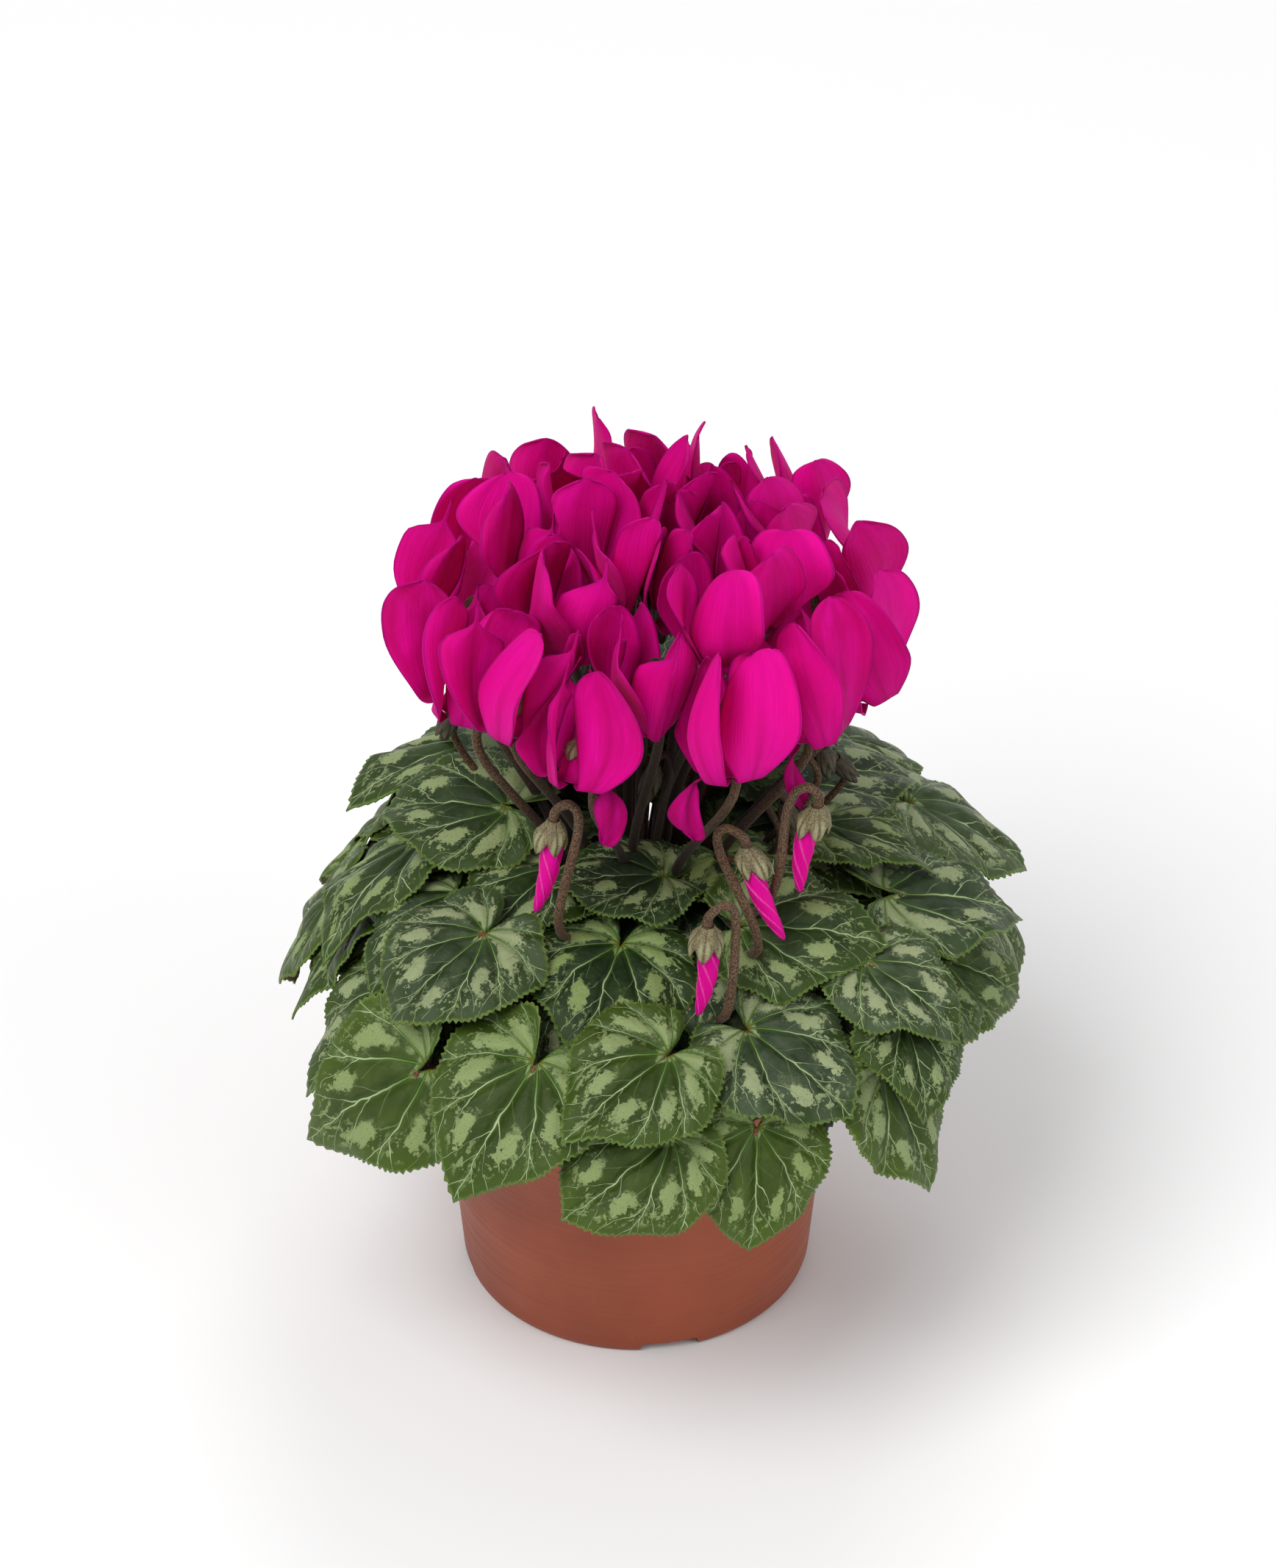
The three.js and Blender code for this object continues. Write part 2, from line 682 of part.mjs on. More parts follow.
// Puts a shape that was made round +Z at the origin at a place, turned to an axis.
function placed(geometry, place, axis) {
  geometry.applyQuaternion(new THREE.Quaternion().setFromUnitVectors(vector(0, 0, 1), axis));
  return solidOf(geometry.translate(place.x, place.y, place.z));
}

// A flower: a five-sided tube, open to no inside, with a petal growing from each of its sides.
function makeBloom(frame, flower) {
  const { mouth, axis, stalkSide, third } = frame;
  const places = [];
  const index = [];
  const addPoint = (point) => places.push(point.x, point.y, point.z) / 3 - 1;
  const count = FLOWER.petals;
  const turn = (2 * Math.PI) / count;
  const toward = (angle) =>
    stalkSide.clone().multiplyScalar(Math.cos(angle)).addScaledVector(third, Math.sin(angle));
  const ring = (radius, height) =>
    Array.from({ length: count }, (_, i) => {
      const corner = mouth.clone().addScaledVector(toward(turn * i), radius);
      return addPoint(corner.addScaledVector(axis, height));
    });
  const low = ring(FLOWER.mouthRadius, 0);
  const high = ring(FLOWER.tubeRadius, FLOWER.tubeLength);
  for (let i = 1; i < count - 1; i += 1) {
    index.push(low[0], low[i + 1], low[i], high[0], high[i], high[i + 1]);
  }
  for (let petal = 0; petal < count; petal += 1) {
    const next = (petal + 1) % count;
    const faces = petalFaces(frame, petal, flower, toward(turn * (petal + 0.5)));
    const [outer, inner] = faces.map((points) => points.map(addPoint));
    const wall = [low[petal], low[next], high[next], high[petal]];
    const root = [outer[0], outer[1], inner[1], inner[0]];
    wall.forEach((corner, i) => {
      const k = (i + 1) % 4;
      index.push(corner, wall[k], root[k], corner, root[k], root[i]);
    });
    for (const [a, b, c] of PETAL_FACES) {
      index.push(outer[a], outer[b], outer[c], inner[a], inner[c], inner[b]);
    }
    PETAL_RIM.slice(0, -1).forEach((a, i) => {
      const b = PETAL_RIM[i + 1];
      index.push(outer[a], inner[a], inner[b], outer[a], inner[b], outer[b]);
    });
  }
  const geometry = new THREE.BufferGeometry();
  geometry.setAttribute("position", new THREE.Float32BufferAttribute(places, 3));
  geometry.setIndex(index);
  return solidOf(geometry);
}

// Where on the tuber the stalk of a flower grows: the flowers' places drawn together.
function stemRoot(place) {
  const x = STEM.spread * (place.x - DOME.x);
  const y = STEM.spread * place.y;
  return vector(x, y, TUBER.top - STEM.sunk);
}

// The stalk of a flower: up from the tuber, past the mouth between two petals, over in a hook and
// down to the calyx, the widened end that holds the tube.
function flowerStem({ mouth, axis, stalkSide }, radius) {
  const at = (aside, up) => mouth.clone().addScaledVector(stalkSide, aside).addScaledVector(axis, up);
  const start = stemRoot(mouth);
  const beside = at(STEM.reach, -STEM.below);
  const low = start.clone().lerp(beside, STEM.bow[0]);
  low.z = start.z + STEM.bow[1] * (beside.z - start.z);
  const path = [
    start,
    low,
    beside,
    at(STEM.reach, STEM.hook - STEM.hookTurn),
    at(STEM.crest * STEM.reach, STEM.hook),
    at(0, STEM.hook - STEM.hookDrop),
    at(0, FLOWER.tubeLength + GAP),
  ];
  return rod(path, radius, STEM.sides, STEM.flare);
}

// Buds hang point down from hooked stalks: place of the calyx, bearing of the hook's stalk from
// it, lean of the bud in degrees, and the bearing that it leans to.
const BUDS = [
  [-20, -43, 168, 60, 12, -60],
  [27, -47, 163, -80, 24, 60],
  [43, -45, 174, -90, 8, -90],
  [17, -65, 153, 100, 6, -60],
];

function budFrame([x, y, z, stalkBearing, lean, leanBearing]) {
  const toward = (bearing) => vector(Math.sin(radians(bearing)), -Math.cos(radians(bearing)), 0);
  const axis = vector(0, 0, Math.cos(radians(lean)));
  axis.addScaledVector(toward(leanBearing), -Math.sin(radians(lean)));
  return { calyx: vector(x, y, z), axis, stalkSide: toward(stalkBearing) };
}

// A furled bud: petals wound round each other to a point.
function makeBud({ calyx, axis }) {
  const points = 2 * BUD.lobes;
  const places = [0, 0, 0];
  const index = [];
  for (let ring = 0; ring < BUD.rings; ring += 1) {
    const part = (ring + BUD.firstRing) / BUD.rings;
    const girth = BUD.radius * Math.sin(Math.PI * part ** BUD.fullness) ** BUD.bluntness;
    for (let i = 0; i < points; i += 1) {
      const radius = girth * (i % 2 ? BUD.groove : 1);
      const angle = (2 * Math.PI * i) / points - BUD.turn * part;
      places.push(radius * Math.cos(angle), radius * Math.sin(angle), -BUD.length * part);
    }
  }
  const tip = places.length / 3;
  places.push(0, 0, -BUD.length);
  for (let i = 0; i < points; i += 1) {
    const next = (i + 1) % points;
    index.push(0, 1 + i, 1 + next);
    index.push(tip, tip - points + next, tip - points + i);
    for (let ring = 0; ring < BUD.rings - 1; ring += 1) {
      const a = 1 + ring * points;
      const b = a + points;
      index.push(a + i, b + i, b + next, a + i, b + next, a + next);
    }
  }
  const geometry = new THREE.BufferGeometry();
  geometry.setAttribute("position", new THREE.Float32BufferAttribute(places, 3));
  geometry.setIndex(index);
  const place = calyx.clone().addScaledVector(axis, -GAP);
  return placed(geometry, place, axis);
}

function budStem({ calyx, axis, stalkSide }, radius) {
  const at = (aside, up) => calyx.clone().addScaledVector(stalkSide, aside).addScaledVector(axis, up);
  const start = stemRoot(calyx);
  const below = at(BUD_HOOK.reach, -BUD.length - BUD_HOOK.below);
  const low = start.clone().lerp(below, 0.5);
  low.z += BUD_HOOK.bow;
  const over = [at(BUD_HOOK.reach, 1), at(STEM.crest * BUD_HOOK.reach, BUD_HOOK.top)];
  const down = [at(0, BUD_HOOK.top - BUD_HOOK.drop), at(0, CALYX.thickness / 2)];
  return rod([start, low, below, ...over, ...down], radius, STEM.sides, STEM.flare);
}

// A bud's calyx: a flat star of five points under the widened end of its stalk.
function budCalyx({ calyx, axis }) {
  const corners = [];
  for (let i = 0; i < 2 * CALYX.points; i += 1) {
    const radius = i % 2 ? CALYX.notch : CALYX.radius;
    const angle = (Math.PI * i) / CALYX.points;
    corners.push(new THREE.Vector2(radius * Math.cos(angle), radius * Math.sin(angle)));
  }
  const form = { depth: CALYX.thickness, bevelEnabled: false };
  return placed(new THREE.ExtrudeGeometry(new THREE.Shape(corners), form), calyx, axis);
}

// Assembly

const pot = makePot();
const soil = makeSoil();
add("pot", pot, terracotta);
add("soil", soil, peat);

const LIFT_STEP = 0.4;
const MOST_LIFT = 16;
const UNDER_LIFT = 1.2; // the stalks of lower leaves run on into their blades
const underBlades = UNDER_LEAVES.map((leaf, i) =>
  leafBlade(leaf, i, LEAF.underRimPoints, LEAF.thickness),
);

// Each upper leaf is raised until it lies clear on those placed before it.
const topBlades = [];
const topItem = (i) => UNDER_LEAVES.length + i;
const lifts = TOP_LEAVES.map((leaf, i) => {
  const { normal } = leafFrame(leaf);
  const shifted = (solid, lift) => solid.translate(normal.clone().multiplyScalar(lift).toArray());
  const roomy = leafBlade(leaf, topItem(i), LEAF.rimPoints, LEAF.thickness + 2 * LEAF.air);
  const placedBefore = [...underBlades, ...topBlades];
  let lift = 0;
  while (lift < MOST_LIFT && placedBefore.some((other) => meet(shifted(roomy, lift), other))) {
    lift += LIFT_STEP;
  }
  topBlades.push(shifted(leafBlade(leaf, topItem(i), LEAF.rimPoints, LEAF.thickness), lift));
  return lift;
});

const budFrames = BUDS.map((row) => budFrame(row));
const underStalks = (radius) =>
  UNDER_LEAVES.map((leaf, i) => leafStalk(leaf, i, UNDER_LIFT, radius));
const topStalks = (radius) =>
  TOP_LEAVES.map((leaf, i) => leafStalk(leaf, topItem(i), lifts[i], radius));
const flowerStems = (radius) => flowerFrames.map((frame) => flowerStem(frame, radius));
const budStems = (radius) => budFrames.map((frame) => budStem(frame, radius));
const crown = joined([
  makeTuber(),
  ...underBlades,
  ...underStalks(STALK.radius),
  ...topStalks(STALK.radius),
  ...flowerStems(STEM.radius),
  ...budStems(STEM.radius),
  ...budFrames.map((frame) => budCalyx(frame)),
]);
add("crown", mainBody(crown), stalkBrown);

// Room round the stalks, cut from what they pass.
const underRoom = underStalks(STALK.radius + GAP);
const topRoom = topStalks(STALK.radius + GAP);
const stemRoom = [...flowerStems(STEM.radius + GAP), ...budStems(STEM.radius + GAP)];
const numbered = (name, i) => name + "_" + String(i + 1).padStart(2, "0");
topBlades.forEach((solid, i) => {
  const others = topRoom.filter((_, k) => k !== i);
  add(numbered("leaf", i), clearOf(solid, [...underRoom, ...others, ...stemRoom]), leafGreen);
});
flowerFrames.forEach((frame, i) => {
  add(numbered("bloom", i), clearOf(makeBloom(frame, i), stemRoom), magenta);
});
budFrames.forEach((frame, i) => {
  const others = stemRoom.filter((_, k) => k !== FLOWERS.length + i);
  add(numbered("bud", i), clearOf(makeBud(frame), others), magenta);
});

export default plant;
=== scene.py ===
# Looks of the potted cyclamen: marbled leaves, swept-back magenta petals, speckled stalks and the
# matte terracotta pot. Lengths in the constants are millimetres, and the scene is in metres.
import math
import bpy
import numpy as np
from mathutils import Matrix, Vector


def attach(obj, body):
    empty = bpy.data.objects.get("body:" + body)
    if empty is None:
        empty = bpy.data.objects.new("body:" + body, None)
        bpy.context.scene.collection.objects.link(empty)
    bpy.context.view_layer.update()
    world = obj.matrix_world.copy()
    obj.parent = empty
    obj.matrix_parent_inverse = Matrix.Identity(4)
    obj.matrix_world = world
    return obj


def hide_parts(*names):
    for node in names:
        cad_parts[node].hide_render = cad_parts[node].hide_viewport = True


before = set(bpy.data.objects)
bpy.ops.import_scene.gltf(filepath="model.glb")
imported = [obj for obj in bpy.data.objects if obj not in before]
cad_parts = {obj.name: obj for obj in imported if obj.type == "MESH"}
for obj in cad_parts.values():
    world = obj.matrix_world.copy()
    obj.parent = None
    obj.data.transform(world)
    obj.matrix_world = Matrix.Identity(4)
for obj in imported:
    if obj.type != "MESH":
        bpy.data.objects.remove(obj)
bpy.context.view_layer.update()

MM = 0.001

# Camera
PHOTO_HEIGHT_PX = 2133
FOCAL_PX = 8238
SENSOR_HEIGHT = 36
CAMERA_DISTANCE = 1500
CAMERA_ELEVATION = 36.75
CAMERA_TARGET = Vector((0.4, 0, 148.4))

# Stage, in metres, and each lamp's place, width and power in watts
FLOOR_WIDTH = 16
ROOM_LIGHT = 0.46
LAMPS_AIM = Vector((0, 0, 0.15))
LAMPS = {
    "key": ((-1.1, -1.3, 2.5), 1.7, 66),
    "fill": ((1.9, -1.2, 1.2), 1.4, 14),
    "back": ((0.3, 1.6, 2.2), 1.2, 16),
}

# Pot and what fills it
POT = {
    "base_radius": 45,
    "taper": 0.085,
    "step_height": 77,
    "step": 2,
    "step_floor": 1,
    "band_radius": 55,
    "band_flare": 1.4,
    "rim_radius": 59,
    "rim_height": 2.6,
    "height": 93,
    "wall": 1.7,
    "floor": 4.6,
    "edge": 0.6,
    "facets": 160,
}
FOOT = {
    "ring": 6,
    "rise": 3,
    "boss_radius": 17,
    "slots": 4,
    "slot_width": 15,
    "slot_bearing": 11,
    "slot_bevel": 1.3,
}
DRAIN = {"radius": 3.6, "ring": 28, "count": 6, "facets": 24}
SOIL = {
    "level": 81,
    "crown": 1,
    "rim_drop": 2,
    "gap": 0.4,
    "side_gap": 0.5,
    "lump": 0.9,
    "small_lump": 0.45,
    "rings": 15,
    "facets": 96,
}
CRUMBS = {"count": 420, "nearest": 22, "spread": 29, "radius": 0.75, "radius_range": 0.5}
TUBER = {
    "radius": 20.7,
    "cad_radius": 21,
    "top_radius": 10.5,
    "base_radius": 14.4,
    "top": 87,
    "shoulder": 83,
    "depth": 14,
    "knob": 0.35,
    "facets": 48,
}

# Leaves. Lengths of veins are in leaf lengths, and angles in radians.
MOUND = {"x": 4, "z": 87, "radius": 96, "rise": 50, "lowest_joint": 66}
LEAF = {
    "cells": 40,
    "inner_cells": 24,
    "thickness": 0.5,
    "middle": 0.24,
    "cleft": 0.64,
    "cleft_spread": 0.2,
    "shoulder": 0.05,
    "shoulder_turn": 0.95,
    "shoulder_spread": 0.4,
    "lobe": 0.025,
    "tooth": 0.4,
    "arch": 0.07,
    "droop": 0.1,
    "wave": 1.1,
    "tuck": 0.01,
    "shingle": 0.05,
    "fold": 1.1,
    "fold_width": 5,
    "puff": 0.8,
    "curl": 1.1,
    "flute": 0.5,
    "rim_droop": 0.8,
}
# Painted shade on the leaves in the shade: how dark, and how far from the plant's middle it reaches and
# fades.
LEAF_SHADE = {"amount": 0.6, "reach": 60, "fade": 18}
VEIN = {
    "spacing": 0.64,
    "sweep": 0.3,
    "sway": 0.12,
    "width": 0.011,
    "rim_width": 0.005,
    "side_width": 0.006,
    "side_spacing": 0.085,
    "side_step": 0.08,
    "side_slant": 1.25,
}
LEAF_UV = {"scale": 0.6, "x": 0.5, "y": 0.3}
STALK = {
    "radius": 1.3,
    "foot": 1.1,
    "tip": 0.8,
    "under": 0.6,
    "joint": 0.9,
    "straight": 8,
    "arch": 6,
    "over_rim": 5,
    "sunk": 2.5,
}
STALK_ROOT = {"nearest": 8.5, "spread": 0.13}
PATH_STEPS = 7

# Flowers
DOME_X = 3
PETAL = {
    "across": 16,
    "along": 30,
    "crowding": 0.6,
    "count": 5,
    "length": 35,
    "width": 21,
    "outer_width": 17.5,
    "outer_count": 12,
    "claw": 0.3,
    "broadest": 0.54,
    "pointed_from": 0.66,
    "open": 9,
    "spacing": 65,
    "thickness": 0.4,
    "mouth_fold": 0.08,
    "mouth_round": 0.03,
    "mouth_bend": 0.06,
    "mouth_bulge": 3.4,
    "reflex": 1.8,
    "first_twist": 8,
    "twist": 56,
    "belly": 2.2,
    "curl": 1.5,
    "sickle": 2.8,
    "slope": 0.17,
    "cup": 0.6,
    "ruffle": 1.9,
    "roll": 3.2,
    "lift": 2.2,
}
# How far a single petal's form may differ from that, either way.
PETAL_RANGE = {
    "spacing": 2,
    "open": 6,
    "length": 0.07,
    "broadest": 0.14,
    "width": 0.12,
    "flower_twist": 12,
    "twist": 8,
    "curl": 4,
    "cup": 1.7,
}
# Hanging petals: how long and wide they are, in parts of a full petal, and how much painted shade they
# get.
HANGING_PETAL = {"length": 0.48, "width": 0.3, "shade": 0.35}
TUBE = {"length": 7, "radius": 3.1, "mouth_radius": 4.8, "lip": 0.5, "top_radius": 0.8, "tone": 0.3}
BLOOM = {"heart": 15, "room": 0.2, "softness": 1.2, "lean": 0.36, "stalk_turn": 0.6}
BLOOM_RANGE = {"bearing": 3, "distance": 1.5, "height": 3, "lean": 4, "tilt": 7, "stalk_turn": 0.2}
CALYX = {"radius": 3.6, "length": 5, "up": 2.2, "bud_up": 1.6, "thickness": 0.35, "cut": 0.45}
STEM = {"radius": 1.2, "hook": 15.3, "reach": 8.4, "spread": 0.16, "wander": 3.5, "sunk": 3}
BUD = {
    "length": 25,
    "radius": 3.1,
    "turn": 4.4,
    "sepal": 8.5,
    "sepal_radius": 3.9,
    "reach": 6.8,
    "top": 7,
    "stem": 1.2,
    "shaded": 0,
}
YOUNG_BUD = {
    "length": 9,
    "radius": 1.9,
    "turn": 3,
    "sepal": 7.5,
    "sepal_radius": 2.4,
    "reach": 4.4,
    "top": 4.6,
    "stem": 0.95,
    # How much painted shade the young buds and their calyces get.
    "shaded": 0.8,
}

# Colours in linear light. A noise, or the piece's tone or age, mixes the two of a pair. The
# colours named for shade and the petal's crease colour are painted shade, and the leaf's grey is
# a painted sheen.
COLOURS = {
    "clay": ((0.250, 0.048, 0.017), (0.315, 0.064, 0.023)),
    "clay_scuff": (0.36, 0.12, 0.07),
    "peat": ((0.010, 0.006, 0.004), (0.055, 0.033, 0.020)),
    "peat_fibre": (0.12, 0.075, 0.04),
    "cork": ((0.045, 0.026, 0.018), (0.15, 0.095, 0.065)),
    "cork_crack": (0.018, 0.010, 0.007),
    "stem": ((0.042, 0.023, 0.013), (0.150, 0.092, 0.052)),
    "stem_blush": (0.85, 0.72, 0.62),
    "stalk": ((0.070, 0.025, 0.015), (0.190, 0.080, 0.045)),
    "stalk_blush": (0.90, 0.60, 0.50),
    "stem_shade": (0.016, 0.011, 0.008),
    "leaf": ((0.009, 0.023, 0.006), (0.032, 0.058, 0.003)),
    "leaf_rim": ((0.015, 0.036, 0.004), (0.055, 0.098, 0.004)),
    "leaf_cloud": ((0.018, 0.041, 0.009), (0.053, 0.088, 0.007)),
    "leaf_silver": ((0.250, 0.330, 0.110), (0.350, 0.395, 0.215)),
    "leaf_vein": ((0.085, 0.165, 0.015), (0.400, 0.500, 0.250)),
    "leaf_grey_sheen": (0.068, 0.094, 0.056),
    "leaf_speck": (0.070, 0.140, 0.045),
    "leaf_groove": (0.050, 0.130, 0.025),
    "leaf_joint": (0.130, 0.140, 0.015),
    "leaf_teeth": (0.150, 0.230, 0.045),
    "leaf_shade": (0.006, 0.011, 0.005),
    "under": ((0.085, 0.095, 0.025), (0.090, 0.050, 0.030)),
    "under_vein": (0.200, 0.180, 0.080),
    "under_shade": (0.006, 0.010, 0.005),
    "petal": ((0.580, 0.0, 0.160), (0.950, 0.005, 0.390)),
    "petal_cloud": (0.900, 0.003, 0.400),
    "petal_streak": (0.420, 0.0, 0.160),
    "petal_crease_shade": (0.460, 0.0, 0.130),
    "petal_mouth": (0.330, 0.0, 0.090),
    "petal_edge": (0.260, 0.0, 0.150),
    "petal_shade": (0.200, 0.0, 0.070),
    "petal_sheen": (1.0, 0.2, 0.85, 1),
    "petal_through": (0.95, 0.0, 0.22),
    "bud_edge": (0.900, 0.300, 0.560),
    "calyx": ((0.110, 0.090, 0.045), (0.210, 0.180, 0.095)),
    "calyx_stripe": (0.400, 0.400, 0.220),
    "calyx_rib": (0.080, 0.045, 0.025),
    "calyx_shade": (0.020, 0.014, 0.010),
    "floor": (0.86, 0.86, 0.86, 1),
}


def draw(item, purpose):
    """A repeatable random draw between -1 and 1 for the given item and purpose."""
    wild = math.sin(item * 12.9898 + purpose * 78.233) * 43758.5453
    return 2 * (wild - math.floor(wild)) - 1


def compass(degrees):
    """The level direction at a bearing from the front, which is -Y."""
    return np.array([math.sin(math.radians(degrees)), -math.cos(math.radians(degrees)), 0.0])


def unit(vector):
    return vector / np.linalg.norm(vector)


def turned_about(vector, axis, angle):
    """The vector turned about a unit axis by an angle in radians."""
    level = vector * math.cos(angle) + np.cross(axis, vector) * math.sin(angle)
    return level + axis * np.dot(axis, vector) * (1 - math.cos(angle))


def spread(amounts, direction):
    """The direction times each of the amounts, as one row of a table for each."""
    return np.multiply.outer(amounts, direction)


def smoothstep(x, low, high):
    t = np.clip((x - low) / (high - low), 0, 1)
    return t * t * (3 - 2 * t)


# Working with objects

def deselect_all():
    for other in bpy.context.selected_objects:
        other.select_set(False)


def only(piece):
    """Makes the piece the only one selected, and active."""
    deselect_all()
    piece.select_set(True)
    bpy.context.view_layer.objects.active = piece


def places_of(piece):
    """The piece's points in millimetres."""
    places = np.empty(len(piece.data.vertices) * 3)
    piece.data.vertices.foreach_get("co", places)
    return places.reshape(-1, 3) / MM


def set_places(piece, places):
    piece.data.vertices.foreach_set("co", (places * MM).ravel())
    piece.data.update()


def new_object(name, data):
    piece = bpy.data.objects.new(name, data)
    bpy.context.scene.collection.objects.link(piece)
    return piece


def copy_of(blank, name):
    return new_object(name, blank.data.copy())


def joined(parts, name):
    deselect_all()
    for part in parts:
        part.select_set(True)
    bpy.context.view_layer.objects.active = parts[0]
    bpy.ops.object.join()
    piece = bpy.context.view_layer.objects.active
    piece.name = name
    return piece


def apply_modifier(piece, kind, **settings):
    only(piece)
    modifier = piece.modifiers.new(kind.title(), kind)
    for setting, value in settings.items():
        setattr(modifier, setting, value)
    bpy.ops.object.modifier_apply(modifier=modifier.name)


def edited(piece, *steps):
    """Runs mesh operators on the whole piece in edit mode."""
    only(piece)
    bpy.ops.object.mode_set(mode="EDIT")
    bpy.ops.mesh.select_all(action="SELECT")
    for step in steps:
        step()
    bpy.ops.object.mode_set(mode="OBJECT")


def merge_doubles(within=0.01):
    bpy.ops.mesh.remove_doubles(threshold=within * MM)


def turn_outwards():
    bpy.ops.mesh.normals_make_consistent(inside=False)


def dress(piece, *skins):
    """Gives a piece its materials."""
    piece.data.materials.clear()
    for skin in skins:
        piece.data.materials.append(skin)


def finish_piece(piece, slot, *nodes, smooth_angle=None):
    """Gives a piece its shading and its body, and hides the nodes that it stands for. The slot is
    not used.
    """
    only(piece)
    if smooth_angle is None:
        bpy.ops.object.shade_smooth()
    else:
        bpy.ops.object.shade_smooth_by_angle(angle=math.radians(smooth_angle))
    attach(piece, "root")
    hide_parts(*nodes)


def new_grid(name, across, along):
    """A flat grid from -1 to 1, in millimetres, whose corners become a blade, a cup or a bud."""
    deselect_all()
    bpy.ops.mesh.primitive_grid_add(x_subdivisions=across, y_subdivisions=along, size=2 * MM)
    grid = bpy.context.object
    grid.name = name
    return grid


def set_numbers(piece, name, values):
    """A number at each of the piece's points, for its material."""
    points = len(piece.data.vertices)
    numbers = piece.data.attributes.new(name, "FLOAT", "POINT")
    numbers.data.foreach_set("value", np.broadcast_to(values, points).astype(np.float32))


def set_uv(piece, x, y):
    corners = np.empty(len(piece.data.loops), dtype=np.int32)
    piece.data.loops.foreach_get("vertex_index", corners)
    uv = np.stack([x[corners], y[corners]], axis=1)
    piece.data.uv_layers[0].data.foreach_set("uv", uv.ravel())


# Working with materials

class Finish:
    """A material under construction, with short ways to add and join its nodes."""

    def __init__(self, name, roughness, **sockets):
        self.material = bpy.data.materials.new(name)
        self.material.use_nodes = True
        self.tree = self.material.node_tree
        self.shader = self.tree.nodes["Principled BSDF"]
        self.shader.inputs["Roughness"].default_value = roughness
        for socket, value in sockets.items():
            self.shader.inputs[socket.replace("_", " ")].default_value = value

    def put(self, socket, value):
        if isinstance(value, bpy.types.NodeSocket):
            self.tree.links.new(value, socket)
        else:
            socket.default_value = value

    def node(self, kind, *values, **settings):
        """A new node with its settings, and its sockets filled in their order."""
        node = self.tree.nodes.new("ShaderNode" + kind)
        for setting, value in settings.items():
            setattr(node, setting, value)
        for socket, value in zip(node.inputs, values):
            self.put(socket, value)
        return node

    def math(self, operation, *values):
        return self.node("Math", *values, operation=operation).outputs[0]

    def times(self, value, *factors):
        for factor in factors:
            value = self.math("MULTIPLY", value, factor)
        return value

    def plus(self, value, *terms):
        for term in terms:
            value = self.math("ADD", value, term)
        return value

    def scaled(self, value, scale, shift):
        return self.math("MULTIPLY_ADD", value, scale, shift)

    def ramp(self, value, low, high, to_low=0.0, to_high=1.0):
        """The value's smooth step from low to high, which may run downwards."""
        values = (value, low, high, to_low, to_high)
        return self.node("MapRange", *values, interpolation_type="SMOOTHSTEP").outputs[0]

    def mix(self, amount, colour_a, colour_b, blend="MIX"):
        node = self.node("Mix", data_type="RGBA", blend_type=blend)
        self.put(node.inputs[0], amount)
        for socket, colour in ((node.inputs[6], colour_a), (node.inputs[7], colour_b)):
            self.put(socket, (*colour, 1) if isinstance(colour, tuple) else colour)
        return node.outputs[2]

    def object_place(self):
        return self.node("TexCoord").outputs["Object"]

    def uv(self):
        return self.node("TexCoord").outputs["UV"]

    def number(self, name):
        return self.node("Attribute", attribute_name=name).outputs["Fac"]

    def mapped(self, place, shift=(0, 0, 0), scale=(1, 1, 1)):
        unturned = (0, 0, 0)
        return self.node("Mapping", place, shift, unturned, scale).outputs[0]

    def parts(self, place):
        return self.node("SeparateXYZ", place).outputs

    def place(self, x, y, z=0.0):
        return self.node("CombineXYZ", x, y, z).outputs[0]

    def noise(self, place, scale, detail=3.0, roughness=0.5, seed=None):
        """Smooth noise from 0 to 1, which a seed makes another on each leaf."""
        dimensions = "3D" if seed is None else "4D"
        values = (place, 0.0 if seed is None else seed, scale, detail, roughness)
        return self.node("TexNoise", *values, noise_dimensions=dimensions).outputs[0]

    def length(self, x, y):
        return self.math("SQRT", self.scaled(x, x, self.times(y, y)))

    def chance(self, number):
        """A random value from 0 to 1 for each number."""
        node = self.node("TexWhiteNoise", noise_dimensions="1D")
        self.put(node.inputs["W"], number)
        return node.outputs["Value"]

    def cell_edges(self, place, scale):
        """How far a point lies from the edge of its cell."""
        node = self.node("TexVoronoi", place, feature="DISTANCE_TO_EDGE")
        node.inputs["Scale"].default_value = scale
        return node.outputs["Distance"]

    def colour(self, colour):
        self.put(self.shader.inputs["Base Color"], colour)

    def rough(self, value):
        self.put(self.shader.inputs["Roughness"], value)

    def bump(self, height, depth):
        """A bump of a depth in millimetres where the height goes from 0 to 1."""
        node = self.node("Bump")
        node.inputs["Strength"].default_value = 1.0
        node.inputs["Distance"].default_value = depth * MM
        self.put(node.inputs["Height"], height)
        self.put(self.shader.inputs["Normal"], node.outputs[0])


def terracotta_plastic():
    """Matte moulded plastic: even, a little clouded, with faint turning lines and scuffs."""
    finish = Finish("terracotta_plastic", 0.5, Specular_IOR_Level=0.4)
    place = finish.object_place()
    cloud = finish.noise(place, 28, 4)
    grain = finish.noise(place, 1900, 2)
    lines = finish.noise(finish.mapped(place, scale=(0.6, 0.6, 60)), 22, 2)
    scuff = finish.noise(finish.mapped(place, scale=(1, 1, 0.3)), 240, 4, 0.7)
    colour = finish.mix(finish.ramp(cloud, 0.3, 0.7), *COLOURS["clay"])
    finish.colour(finish.mix(finish.ramp(scuff, 0.62, 0.75, 0.0, 0.2), colour, COLOURS["clay_scuff"]))
    finish.rough(finish.ramp(lines, 0.3, 0.7, 0.44, 0.56))
    finish.bump(finish.plus(finish.times(lines, 0.6), finish.times(grain, 0.5)), 0.05)
    return finish.material


